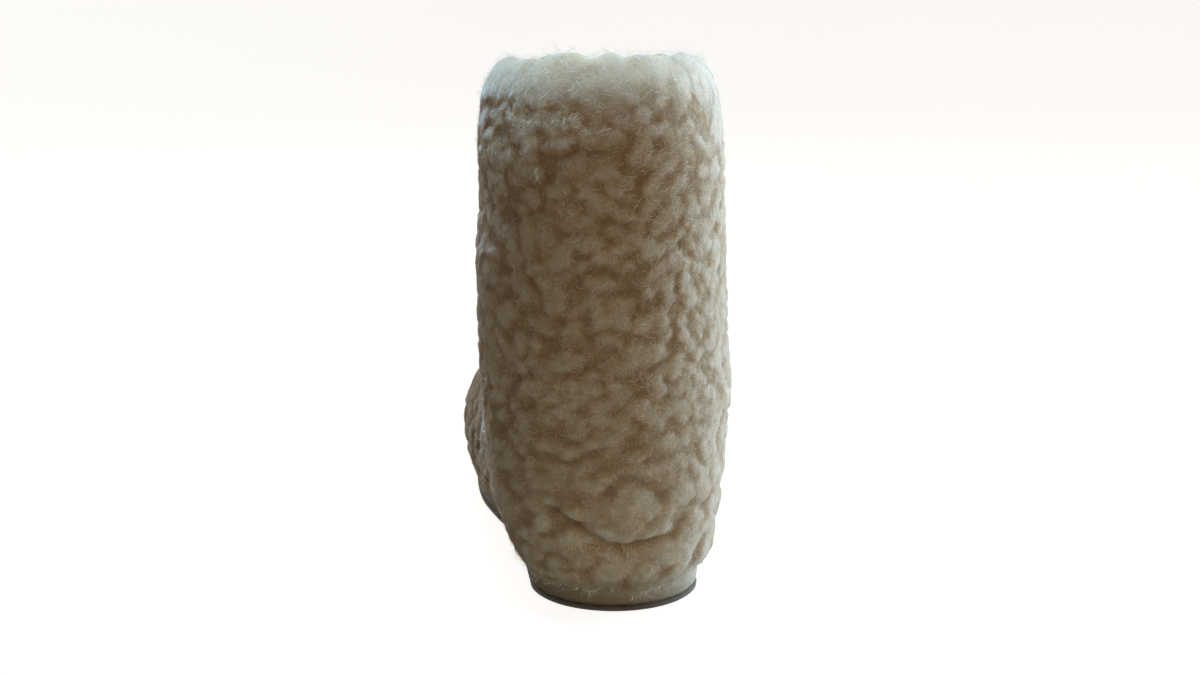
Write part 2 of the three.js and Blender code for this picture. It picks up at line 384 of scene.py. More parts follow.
@dataclass(frozen=True)
class Finish:
    """What a piece is made of."""

    name: str

    @cache
    def material(self) -> bpy.types.Material:
        """The finish as a node material, made on first use."""
        return self.drawn(NodeSheet(self.name))

    def drawn(self, sheet: NodeSheet) -> bpy.types.Material:
        """The material, drawn on an empty sheet."""
        raise NotImplementedError


@dataclass(frozen=True)
class WoolFinish(Finish):
    """Cream wool, soft and without gloss, with painted shade: warm tan in the gaps between clumps, and pale
    crowns on its curls that are partly painted light.

    Wisps and a finer nap mottle its colour and bump it. Light sinks in by depth, and shines through by glow.
    """

    parting_shade: Colour
    middle: Colour
    crown: Colour
    wisp: float
    wisp_depth: float
    nap: float
    depth: float = 0.0
    glow: float = 0.0
    wisp_swirl: float = 1.2
    nap_swirl: float = 1.5
    wisp_shift: Range = (-0.15, 0.2)
    nap_shift: Range = (-0.4, 0.4)
    nap_height: float = 0.3
    sunk_share: float = 0.9

    def drawn(self, sheet: NodeSheet) -> bpy.types.Material:
        """Colour runs along the tone, shifted by wisps and nap, which also bump it.

        Args:
            sheet: The material's empty sheet.

        Returns:
            The material.
        """
        tone = sheet.add("ShaderNodeAttribute", attribute_name=TONE).outputs["Fac"]
        wisps = sheet.noise(self.wisp, swirl=self.wisp_swirl)
        nap = sheet.noise(self.nap, swirl=self.nap_swirl)
        shade = sheet.added(tone, sheet.spread(wisps, *self.wisp_shift))
        shade = sheet.added(shade, sheet.spread(nap, *self.nap_shift))
        # Painted shade: low tone takes the warm tan, high tone the pale crown colour, which is partly painted
        # light.
        colour = sheet.ramp(shade, [(0.0, self.parting_shade), (0.5, self.middle), (1.0, self.crown)])
        values = {
            "Base Color": colour,
            "Roughness": 0.95,
            "Specular IOR Level": 0.1,
            "Sheen Weight": 0.8,
            "Sheen Roughness": 0.4,
            "Subsurface Weight": self.sunk_share if self.depth else 0.0,
            "Subsurface Radius": (1.0, 0.82, 0.65),
            "Subsurface Scale": self.depth,
            "Normal": sheet.bump(nap, self.nap_height * self.nap, sheet.bump(wisps, self.wisp_depth)),
        }
        cloth = sheet.add(PRINCIPLED, values)
        if not self.glow:
            return sheet.finish(cloth)
        through = sheet.add("ShaderNodeBsdfTranslucent", {"Color": colour})
        mix = {"Fac": self.glow, 1: cloth.outputs[0], 2: through.outputs[0]}
        return sheet.finish(sheet.add("ShaderNodeMixShader", mix))


@dataclass(frozen=True)
class ClothFinish(Finish):
    """Brushed cloth drawn tight round the midsole, with a fine weave under its nap and soft upright pulls."""

    shade: Colour
    light: Colour
    thread: float
    thread_depth: float = 0.12 * MM
    cloud: float = 14 * MM
    cloud_run: Range = (0.32, 0.7)
    pull: float = 9 * MM
    pull_depth: float = 0.5 * MM
    pull_stretch: Place = (1.0, 1.0, 0.35)

    def drawn(self, sheet: NodeSheet) -> bpy.types.Material:
        """Colour runs between two close shades; a thread-sized noise and soft pulls bump it.

        Args:
            sheet: The material's empty sheet.

        Returns:
            The material.
        """
        cloud = sheet.noise(self.cloud, detail=5.0)
        pulls = sheet.bump(sheet.noise(self.pull, detail=2.0, stretch=self.pull_stretch), self.pull_depth)
        values = {
            "Base Color": sheet.ramp(cloud, list(zip(self.cloud_run, (self.shade, self.light)))),
            "Roughness": 0.9,
            "Specular IOR Level": 0.2,
            "Sheen Weight": 0.1,
            "Sheen Roughness": 0.5,
            "Normal": sheet.bump(sheet.noise(self.thread, detail=2.0), self.thread_depth, pulls),
        }
        return sheet.finish(sheet.add(PRINCIPLED, values))


@dataclass(frozen=True)
class GripFinish(Finish):
    """Matt grip rubber, finely pitted, with dust in soft clouds."""

    shade: Colour
    dust: Colour
    pit: float
    pit_depth: float = 0.2 * MM
    cloud: float = 6 * MM
    cloud_run: Range = (0.35, 0.75)
    rough: Range = (0.6, 0.9)

    def drawn(self, sheet: NodeSheet) -> bpy.types.Material:
        """Colour runs from rubber to dust; pits bump it, and roughness follows the dust.

        Args:
            sheet: The material's empty sheet.

        Returns:
            The material.
        """
        cloud = sheet.noise(self.cloud, detail=6.0)
        values = {
            "Base Color": sheet.ramp(cloud, list(zip(self.cloud_run, (self.shade, self.dust)))),
            "Roughness": sheet.spread(cloud, *self.rough),
            "Normal": sheet.bump(sheet.noise(self.pit), self.pit_depth),
        }
        return sheet.finish(sheet.add(PRINCIPLED, values))


@dataclass(frozen=True)
class FloorFinish(Finish):
    """Pale studio floor with an even glow of its own."""

    shade: Colour
    light: Colour
    glow: float
    glow_colour: Colour = (1.0, 0.99, 0.97)
    cloud: float = 0.8
    cloud_run: Range = (0.3, 0.7)

    def drawn(self, sheet: NodeSheet) -> bpy.types.Material:
        """Colour runs slowly between two pale shades under the glow.

        Args:
            sheet: The material's empty sheet.

        Returns:
            The material.
        """
        cloud = sheet.noise(self.cloud, detail=2.0)
        values = {
            "Base Color": sheet.ramp(cloud, list(zip(self.cloud_run, (self.shade, self.light)))),
            "Roughness": 0.7,
            "Emission Color": (*self.glow_colour, 1.0),
            "Emission Strength": self.glow,
        }
        return sheet.finish(sheet.add(PRINCIPLED, values))


PILE = WoolFinish(
    name="pile_wool",
    parting_shade=(0.42, 0.3, 0.175),
    middle=(0.57, 0.465, 0.325),
    crown=(0.72, 0.66, 0.55),
    wisp=4 * MM,
    wisp_depth=0.4 * MM,
    nap=1.1 * MM,
    depth=13 * MM,
)
FIBRE = WoolFinish(
    name="fibre_wool",
    parting_shade=(0.45, 0.33, 0.2),
    middle=(0.66, 0.56, 0.42),
    crown=(0.9, 0.87, 0.8),
    wisp=1.5 * MM,
    wisp_depth=0.1 * MM,
    nap=0.5 * MM,
    glow=0.35,
)
FOOTBED = WoolFinish(
    name="footbed_wool",
    parting_shade=(0.42, 0.31, 0.19),
    middle=(0.6, 0.5, 0.36),
    crown=(0.72, 0.63, 0.48),
    wisp=3.2 * MM,
    wisp_depth=1.2 * MM,
    nap=1.1 * MM,
    depth=3 * MM,
)
BAND = ClothFinish(
    name="band_cloth",
    shade=(0.455, 0.415, 0.325),
    light=(0.565, 0.525, 0.425),
    thread=0.45 * MM,
)
GRIP = GripFinish(
    name="grip_rubber",
    shade=(0.07, 0.06, 0.045),
    dust=(0.15, 0.132, 0.1),
    pit=0.5 * MM,
)
FLOOR = FloorFinish(
    name="pale_floor",
    shade=(0.42, 0.415, 0.405),
    light=(0.46, 0.455, 0.445),
    glow=0.9,
)


# The last


@dataclass(frozen=True)
class Section:
    """One level of the last: four stations along the foot, half widths at heel and ball, waist and lean."""

    back: Array
    heel_at: Array
    ball_at: Array
    front: Array
    heel: Array
    ball: Array
    waist: Array
    lean: Array

    def moved_in(self, inset: Array | float) -> Section:
        """The section with its edge moved in all round."""
        moved = {key: getattr(self, key) - inset for key in ("front", "heel", "ball")}
        return replace(self, back=self.back + inset, **moved)


# Sections of the upper's outer face, level by level. First the height, a share of the boot's height; then a
# section's fields in order: stations as shares of the sole's length from its back end, the rest as shares of
# half the ball's width.
UPPER_SECTIONS: Array = np.array(
    [
        [0.056, -0.008, 0.138, 0.628, 1.008, 0.79, 0.99, 0.05, -0.01],
        [0.096, -0.023, 0.140, 0.627, 1.022, 0.88, 1.04, 0.01, -0.02],
        [0.139, -0.031, 0.145, 0.622, 1.027, 0.94, 1.06, 0.00, -0.03],
        [0.183, -0.036, 0.153, 0.612, 1.020, 0.98, 1.05, 0.00, -0.04],
        [0.221, -0.040, 0.160, 0.597, 0.996, 1.01, 1.02, 0.00, -0.04],
        [0.257, -0.042, 0.168, 0.574, 0.953, 1.03, 0.98, 0.00, -0.04],
        [0.292, -0.043, 0.175, 0.540, 0.890, 1.05, 0.94, 0.00, -0.04],
        [0.334, -0.043, 0.183, 0.478, 0.784, 1.07, 0.92, 0.00, -0.04],
        [0.378, -0.044, 0.190, 0.405, 0.672, 1.08, 0.92, 0.00, -0.04],
        [0.435, -0.044, 0.195, 0.328, 0.572, 1.09, 0.96, 0.00, -0.05],
        [0.505, -0.044, 0.198, 0.260, 0.502, 1.09, 1.04, 0.00, -0.06],
        [0.610, -0.043, 0.199, 0.206, 0.456, 1.08, 1.08, 0.00, -0.07],
        [0.740, -0.042, 0.200, 0.200, 0.441, 1.07, 1.07, 0.00, -0.08],
        [0.870, -0.041, 0.201, 0.201, 0.442, 1.05, 1.05, 0.00, -0.08],
        [1.000, -0.039, 0.202, 0.202, 0.445, 1.03, 1.03, 0.00, -0.08],
    ]
)

# The sole's edge: a section's fields in order, in the same shares.
SOLE_EDGE: Array = np.array([0.0, 0.138, 0.63, 1.0, 0.74, 0.97, 0.07, 0.0])


@dataclass(frozen=True)
class Last:
    """The form that the boot is made on: outlines level by level, and the lift of the sole."""

    sole_length: float
    ball_width: float = 100 * MM
    boot_height: float = 230 * MM
    heel_seat: float = 36 * MM
    toe_spring: float = 9 * MM
    spring_start: float = 186 * MM
    spring_fade: float = 80 * MM
    arch_rise: float = 2 * MM
    arch_start: float = 62 * MM
    arch_end: float = 132 * MM
    toe_inflare: float = 8 * MM
    ball_lead: float = 0.06
    outer_tuck: float = 0.3
    inner_fullness: float = 0.45
    outer_fullness: float = 0.2
    outsole: float = 2.2 * MM
    midsole: float = 10 * MM
    insole: float = 6 * MM
    gap: float = 0.3 * MM
    turn_step: float = 0.004
    height_step: float = 1 * MM

    @property
    def midsole_base(self) -> float:
        """Height of the midsole's underside."""
        return self.outsole + self.gap

    @property
    def feather(self) -> float:
        """Height at which upper and insole stand on the midsole."""
        return self.midsole_base + self.midsole + self.gap

    def sole_lift(self, station: Array) -> Array:
        """Rise of the sole's underside: a square toe spring plus an arch between two eased steps.

        Args:
            station: Distance from the sole's back end.

        Returns:
            The rise.
        """
        spring = np.maximum(0.0, (station - self.spring_start) / (self.sole_length - self.spring_start))
        middle = (self.arch_start + self.arch_end) / 2
        arch = smooth(station, self.arch_start, middle) * (1.0 - smooth(station, middle, self.arch_end))
        return self.toe_spring * spring**2 + self.arch_rise * arch

    def scaled(self, shares: Array) -> Section:
        """A section in metres from its fields in shares, in order along the last axis."""
        sizes = shares * np.repeat([self.sole_length, self.ball_width / 2], 4)
        return Section(*np.moveaxis(sizes, -1, 0))

    def sole_edge(self, inset: float = 0.0) -> Section:
        """The sole's edge, moved in all round."""
        return self.scaled(SOLE_EDGE).moved_in(inset)

    def upper_section(self, height: Array) -> Section:
        """The upper's section at a height: a cubic through the rows of the table, column by column.

        Args:
            height: Heights on the flat of the sole.

        Returns:
            The section, each of its fields in the heights' shape.
        """
        levels = UPPER_SECTIONS[:, 0]
        row = np.arange(len(levels))
        below, above = np.maximum(row - 1, 0), np.minimum(row + 1, row[-1])
        slopes = (UPPER_SECTIONS[above] - UPPER_SECTIONS[below]) / (levels[above] - levels[below])[:, None]
        return self.scaled(cubic(levels, UPPER_SECTIONS, slopes, height / self.boot_height)[..., 1:])

    def outline(self, section: Section, turn: Array) -> tuple[Array, Array]:
        """Points on a section's outline, by length: on each side a heel arc, an eased flank and a toe arc.

        The flank is drawn in at the waist by a squared sine. The toe arc is a superellipse, fuller on the
        inner side, and the outline swings to the inside with the square of the way to the toe.

        Args:
            section: The section.
            turn: 0 at the back, 0.5 at the front by the outer side, 1 home by the inner side.

        Returns:
            The sideways place and the station of each point.
        """
        whole = np.mod(turn, 1.0)
        outer = whole <= 0.5
        lead = self.ball_lead * (section.ball_at - section.heel_at)
        ball_at = section.ball_at + np.where(outer, -lead, lead)
        flank = ball_at - section.heel_at
        fullness = np.where(outer, self.outer_fullness, self.inner_fullness)
        power = 2 / (2.0 + fullness * flank / (self.sole_length / 2))
        heel_arc = quarter_length(section.heel_at - section.back, section.heel)
        toe_arc = quarter_length(section.front - ball_at, section.ball)
        travel = np.where(outer, 2 * whole, 2 - 2 * whole) * (heel_arc + flank + toe_arc)
        stretches = [travel < heel_arc, travel < heel_arc + flank]
        heel_angle = np.clip(travel / heel_arc, 0.0, 1.0) * math.pi / 2
        share = np.clip((travel - heel_arc) / np.maximum(flank, TINY), 0.0, 1.0)
        toe_angle = np.clip((travel - heel_arc - flank) / toe_arc, 0.0, 1.0) * math.pi / 2
        tuck = np.where(outer, self.outer_tuck, 1.0) * section.waist * np.sin(math.pi * share) ** 2
        eased = smooth(share, 0.0, 1.0)
        heel_station = section.heel_at - (section.heel_at - section.back) * np.cos(heel_angle)
        toe_station = ball_at + (section.front - ball_at) * np.sin(toe_angle) ** power
        station = np.select(stretches, [heel_station, section.heel_at + share * flank], toe_station)
        heel_half = section.heel * np.sin(heel_angle)
        flank_half = section.heel * (1 - eased) + section.ball * eased - tuck
        toe_half = section.ball * np.maximum(np.cos(toe_angle), 0.0) ** power
        half = np.select(stretches, [heel_half, flank_half], toe_half)
        reach = np.maximum(0.0, (station - section.heel_at) / (self.sole_length - section.heel_at))
        return section.lean + np.where(outer, half, -half) - self.toe_inflare * reach**2, station

    def wall(self, turn: Array, height: Array) -> Array:
        """The upper's smooth outer face; low down it also takes the sole's lift.

        Args:
            turn: Places round the boot.
            height: Heights on the flat of the sole.

        Returns:
            The points.
        """
        turn, height = np.broadcast_arrays(turn, height)
        x, station = self.outline(self.upper_section(height), turn)
        hold = 1.0 - smooth(height, self.feather, self.feather + self.spring_fade)
        return np.stack([x, station - self.heel_seat, height + self.sole_lift(station) * hold], -1)

    def wall_normal(self, turn: Array, height: Array) -> Array:
        """Outward normal of the outer face, from points a small step away on each side.

        Args:
            turn: Places round the boot.
            height: Heights on the flat of the sole.

        Returns:
            The unit normals.
        """
        around = self.wall(turn + self.turn_step, height) - self.wall(turn - self.turn_step, height)
        up = self.wall(turn, height + self.height_step) - self.wall(turn, height - self.height_step)
        return unit(np.cross(around, up))


# The fleece


@dataclass(frozen=True)
class Fold:
    """A soft swell or dent of the wall, centred at a place round the boot and a height."""

    turn: float
    spread: float
    height: float
    width: float
    relief: float

    def offset(self, turn: Array, height: Array) -> Array:
        """How far the wall moves out: cos^2 along the fold times a bell across it.

        Args:
            turn: Places round the boot.
            height: Their heights.

        Returns:
            The move, outwards where positive.
        """
        along = (np.mod(turn - self.turn + 0.5, 1.0) - 0.5) / self.spread
        window = np.cos(np.clip(along, -1, 1) * math.pi / 2) ** 2
        return self.relief * window * bell(height - self.height, self.width)


@dataclass(frozen=True)
class Crease:
    """A line where the wool parts across the back, through given places; the wool rolls over it on one side.
    """

    path: Path
    depth: float
    width: float
    roll: float
    roll_width: float
    # The next two give the painted shade on the line: how far the tone falls, and the width of its bell as a
    # share of width.
    painted_shade: float
    painted_shade_share: float = 0.6
    fade: float = 9 * MM
    back_from: float = -14 * MM
    back_to: float = -28 * MM

    def away(self, points: Array) -> tuple[Array, Array]:
        """Distance above the line and how much of the crease there is.

        Args:
            points: Places on the wall.

        Returns:
            The distance, from a cubic through the path, and a share that is 0 past the ends and off the back.
        """
        x, z = np.array(self.path).T
        slopes = np.gradient(z, x)
        line = cubic(x, z[:, None], slopes[:, None], points[..., 0])[..., 0]
        slope = np.interp(points[..., 0], x, slopes)
        start = smooth(points[..., 0], x[0], x[0] + self.fade)
        end = 1 - smooth(points[..., 0], x[-1] - self.fade, x[-1])
        share = start * end * on_back(points, self.back_to, self.back_from)
        return (points[..., 2] - line) / np.sqrt(1 + slope**2), share

    def offset(self, points: Array) -> Array:
        """How far the wall moves out: a narrow bell inwards on the line and a wider one outwards beside it.

        Args:
            points: Places on the wall.

        Returns:
            The move, outwards where positive.
        """
        away, share = self.away(points)
        trough = self.depth * bell(away, self.width)
        return share * (self.roll * bell(away - self.roll_width, self.roll_width) - trough)

    def shade(self, points: Array) -> Array:
        """Painted shade along the line: how far the tone falls there."""
        away, share = self.away(points)
        return self.painted_shade * share * bell(away, self.painted_shade_share * self.width)


FOLDS = (
    Fold(turn=0.0, spread=0.3, height=18 * MM, width=6 * MM, relief=1.6 * MM),
    Fold(turn=-0.03, spread=0.19, height=46 * MM, width=11 * MM, relief=1.6 * MM),
    Fold(turn=0.0, spread=0.022, height=46 * MM, width=11 * MM, relief=1.6 * MM),
    Fold(turn=0.22, spread=0.14, height=86 * MM, width=13 * MM, relief=1.6 * MM),
    Fold(turn=-0.22, spread=0.13, height=172 * MM, width=16 * MM, relief=-2.5 * MM),
)
HEEL_CREASE = Crease(
    path=in_metres((-44, 53), (-34, 48.5), (-22, 41.5), (-11, 35), (-1, 32), (12, 34), (26, 40)),
    depth=3.6 * MM,
    width=2.9 * MM,
    roll=1.4 * MM,
    roll_width=5 * MM,
    painted_shade=0.4,
    fade=18 * MM,
)
HEEL_ARCH = Crease(
    path=in_metres((-18, 48), (-12, 55), (-5, 59.5), (2, 60), (8.5, 56.5), (15, 49)),
    depth=1.1 * MM,
    width=3 * MM,
    roll=0.5 * MM,
    roll_width=5 * MM,
    painted_shade=0.18,
    fade=7 * MM,
)
PATCH_EDGE = Crease(
    path=in_metres((-22, 166), (-10, 163.5), (4, 161), (16, 157.5), (30, 151)),
    depth=0.5 * MM,
    width=4 * MM,
    roll=0.7 * MM,
    roll_width=-6 * MM,
    painted_shade=0.06,
)
CREASES = (HEEL_CREASE, HEEL_ARCH, PATCH_EDGE)


@dataclass(frozen=True)
class BrushedPatch:
    """A patch at the back of the shaft that has been stroked smooth, its wool combed one way."""

    x: float = 18 * MM
    z: float = 182 * MM
    half_width: float = 24 * MM
    half_height: float = 25 * MM
    back_from: float = 0.0
    back_to: float = -25 * MM
    calm: float = 0.6
    shade: float = 0.16
    heading: float = 0.26

    def share(self, points: Array) -> Array:
        """How much of the patch there is: a bell sideways times one upwards, on the back alone.

        Args:
            points: Places on the wall.

        Returns:
            The share, from 0 to 1.
        """
        sideways = bell(points[..., 0] - self.x, self.half_width)
        upwards = bell(points[..., 2] - self.z, self.half_height)
        return sideways * upwards * on_back(points, self.back_to, self.back_from)


@dataclass(frozen=True)
class HemTuft:
    """A tuft at the back of the hem that hangs over the band."""

    x: float
    half_width: float
    drop: float
    back_from: float = -8 * MM
    back_to: float = -28 * MM

    def fall(self, points: Array) -> Array:
        """How far the hem drops at places on it: a bell sideways, on the back alone."""
        back = on_back(points, self.back_to, self.back_from)
        return self.drop * back * bell(points[..., 0] - self.x, self.half_width)


HEM_TUFTS = (
    HemTuft(x=-31 * MM, half_width=5 * MM, drop=1.2 * MM),
    HemTuft(x=-15 * MM, half_width=4 * MM, drop=3 * MM),
    HemTuft(x=4 * MM, half_width=7 * MM, drop=3.2 * MM),
    HemTuft(x=21 * MM, half_width=5 * MM, drop=1.6 * MM),
)


@dataclass(frozen=True)
class ClumpField:
    """What a field of clumps says at some places.

    puff runs from 0 between clumps to 1 on a crown, centre is the way to the nearest clump's middle in cells,
    and heading is that clump's own angle.
    """

    puff: Array
    centre: Array
    heading: Array


# Turns the clumps' cells off the axes, so that clumps stand in no rows.
CELL_TILT: Array = np.array(Euler((0.5, 0.8, 1.1)).to_matrix())

# The steps from a cell to itself and to the cells round it.
NEIGHBOURS: Indices = np.stack(np.meshgrid(*[[-1, 0, 1]] * 3, indexing="ij"), -1).reshape(-1, 3)


@dataclass(frozen=True)
class Clumps:
    """Clumps of wool scattered through space, one to a cell, wider than tall and leaning a little."""

    wide: float
    tall: float
    salt: int
    lean: float = 0.1
    soft: float = 7.0
    floor: float = 0.42
    drift_wave: float = 4.2
    drift_reach: float = 0.2

    def cell_place(self, points: Array) -> Array:
        """Places counted in cells: drifted, sheared so that clumps lean, divided by the cell's sides, tilted.

        Args:
            points: Places in metres.

        Returns:
            The same places in cells.
        """
        moved = drift(points, self.drift_wave * self.wide, self.drift_reach * self.wide)
        leaning = moved - self.lean * moved[..., :1] * UP
        return (leaning / np.array([self.wide, self.wide, self.tall])) @ CELL_TILT

    def at(self, points: Array) -> ClumpField:
        """The clumps round each place.

        The puff is 1 - s / floor, with s the soft least -ln(sum exp(-soft d^2)) / soft of the squared
        distances d^2 in cells to the clumps' middles.

        Args:
            points: Places, three numbers along the last axis.

        Returns:
            The field.
        """
        place = self.cell_place(points)
        home = np.floor(place).astype(np.int64)
        nearest = np.full(place.shape[:-1], np.inf)
        total = np.zeros(place.shape[:-1])
        centre = np.zeros_like(place)
        heading = np.zeros(place.shape[:-1])
        for step in NEIGHBOURS:
            cell = home + step
            middle = cell + np.stack([scatter(cell, self.salt + axis) for axis in range(3)], -1)
            square = np.sum((place - middle) ** 2, -1)
            total += np.exp(-self.soft * square)
            nearer = square < nearest
            nearest = np.where(nearer, square, nearest)
            centre = np.where(nearer[..., None], middle - place, centre)
            heading = np.where(nearer, scatter(cell, self.salt + 3), heading)
        puff = np.clip(1.0 + np.log(np.maximum(total, TINY)) / (self.soft * self.floor), 0.0, 1.0)
        return ClumpField(puff, centre @ CELL_TILT.T, 2.0 * math.pi * heading)


@dataclass(frozen=True)
class Pile:
    """The wool's relief: small clumps on the shaft, large ones on the foot, and curls on them all."""

    clumps: Clumps = Clumps(wide=7.8 * MM, tall=5.2 * MM, salt=11)
    low_clumps: Clumps = Clumps(wide=11 * MM, tall=7.6 * MM, salt=277)
    curls: Clumps = Clumps(wide=3.6 * MM, tall=2.9 * MM, salt=47)
    clump_relief: float = 0.9 * MM
    low_relief: float = 1.4 * MM
    curl_relief: float = 0.4 * MM
    tuft_edge: Range = (-0.05, 0.75)
    tuft_level: float = 0.65
    curl_level: float = 0.55
    base_tone: float = 0.2
    tuft_tone: float = 0.46
    curl_tone: float = 0.2
    own_tone: float = 0.14
    own_turns: float = 5.0
    low_from: float = 75 * MM
    low_to: float = 45 * MM
    droop: float = 0.6
    patch: BrushedPatch = BrushedPatch()
    collar_from: float = 192 * MM
    collar_to: float = 222 * MM
    collar_calm: float = 0.4
    collar_painted_light_tone: float = 0.85
    hem_from: float = 24 * MM
    hem_to: float = 14 * MM
    hem_share: float = 0.8
    comb_spread: float = 0.4

    def low_share(self, points: Array) -> Array:
        """How much of the large clumps there is, by height."""
        return 1.0 - smooth(points[..., 2], self.low_to, self.low_from)

    def clump(self, points: Array) -> ClumpField:
        """The clumps round each place.

        Args:
            points: Places on the smooth wall.

        Returns:
            puff, mixed from both sizes by height, with the centre and heading of the size that prevails.
        """
        low = self.low_share(points)
        small, large = self.clumps.at(points), self.low_clumps.at(points)
        on_foot = low > 0.5
        return ClumpField(
            small.puff * (1 - low) + large.puff * low,
            np.where(on_foot[..., None], large.centre, small.centre),
            np.where(on_foot, large.heading, small.heading),
        )

    def relief(self, points: Array) -> tuple[Array, Array]:
        """How far the pile stands out, and its tone of painted shade: both rise with tufts and curls, calmer
        where brushed.

        Args:
            points: Places on the smooth wall.

        Returns:
            The move out of the smooth wall, and the tone: 0 between clumps, 1 on the crowns; low tone is
            painted shade, and near the collar the tone is raised as painted light.
        """
        clump, knot = self.clump(points), self.curls.at(points).puff
        low, patch = self.low_share(points), self.patch.share(points)
        deep = self.clump_relief * (1 - low) + self.low_relief * low
        tuft = smooth(clump.puff, *self.tuft_edge)
        offset = deep * (tuft - self.tuft_level) + self.curl_relief * (knot - self.curl_level)
        own = self.own_tone * np.sin(self.own_turns * clump.heading)
        # Painted shade: the tone falls between tufts and curls; own is a random shift for each clump.
        tone = self.base_tone + self.tuft_tone * tuft + self.curl_tone * knot + own * tuft
        # Painted light, partly paler wool tips: towards the collar's top the tone is drawn up to a pale tone,
        # and the pile is calmer.
        brushed = self.collar_calm * smooth(points[..., 2], self.collar_from, self.collar_to)
        tone = (tone - self.patch.shade * patch) * (1.0 - brushed) + self.collar_painted_light_tone * brushed
        return offset * (1.0 - self.patch.calm * patch) * (1.0 - brushed), np.clip(tone, 0.0, 1.0)

    def combed(self, points: Array, heading: Array, rng: np.random.Generator) -> Array:
        """Headings of strands after combing: those on the brushed patch lie its way, those at the hem hang.

        Args:
            points: Where the strands stand.
            heading: Their own headings.
            rng: Source of the scatter.

        Returns:
            The combed headings.
        """
        chance, loose = rng.random(heading.shape), rng.normal(0.0, self.comb_spread, heading.shape)
        heading = np.where(chance < self.patch.share(points), self.patch.heading + loose, heading)
        hang = self.hem_share * (1.0 - smooth(points[..., 2], self.hem_to, self.hem_from))
        return np.where(chance < hang, loose - math.pi / 2, heading)


@dataclass(frozen=True)
class Surface:
    """A grid of points that closes round the boot, with what the fibres need to know about it."""

    smooth_points: Array
    points: Array
    normals: Array
    tone: Array

    def sampled(self, rows: Array, columns: Array) -> tuple[Array, Array, Array, Array]:
        """Places between the grid's points.

        Args:
            rows: Row numbers with fractions.
            columns: Column numbers with fractions.

        Returns:
            Smooth points, points, unit normals and tone.
        """
        grids = (self.smooth_points, self.points, self.normals, self.tone[..., None])
        base, points, normals, tone = (self.mixed(grid, rows, columns) for grid in grids)
        return base, points, unit(normals), tone[:, 0]

    @staticmethod
    def mixed(grid: Array, rows: Array, columns: Array) -> Array:
        """A grid read between its points, by straight-line mixing of the four corners.

        Args:
            grid: Rows and columns of rows of numbers.
            rows: Row numbers with fractions.
            columns: Column numbers with fractions.

        Returns:
            A row of numbers for each place.
        """
        row, column = np.floor(rows).astype(np.int64), np.floor(columns).astype(np.int64)
        ahead, across = (rows - row)[:, None], (columns - column)[:, None]
        here, beside = column % grid.shape[1], (column + 1) % grid.shape[1]
        near = grid[row, here] * (1 - across) + grid[row, beside] * across
        far = grid[row + 1, here] * (1 - across) + grid[row + 1, beside] * across
        return near * (1 - ahead) + far * ahead


class Zone(Enum):
    """Parts of the upper that carry fibres."""

    SHAFT_BACK = "fibres_shaft_back"
    SHAFT_FRONT = "fibres_shaft_front"
    FOOT_OUTER = "fibres_foot_outer"
    FOOT_INNER = "fibres_foot_inner"
    COLLAR = "fibres_collar"


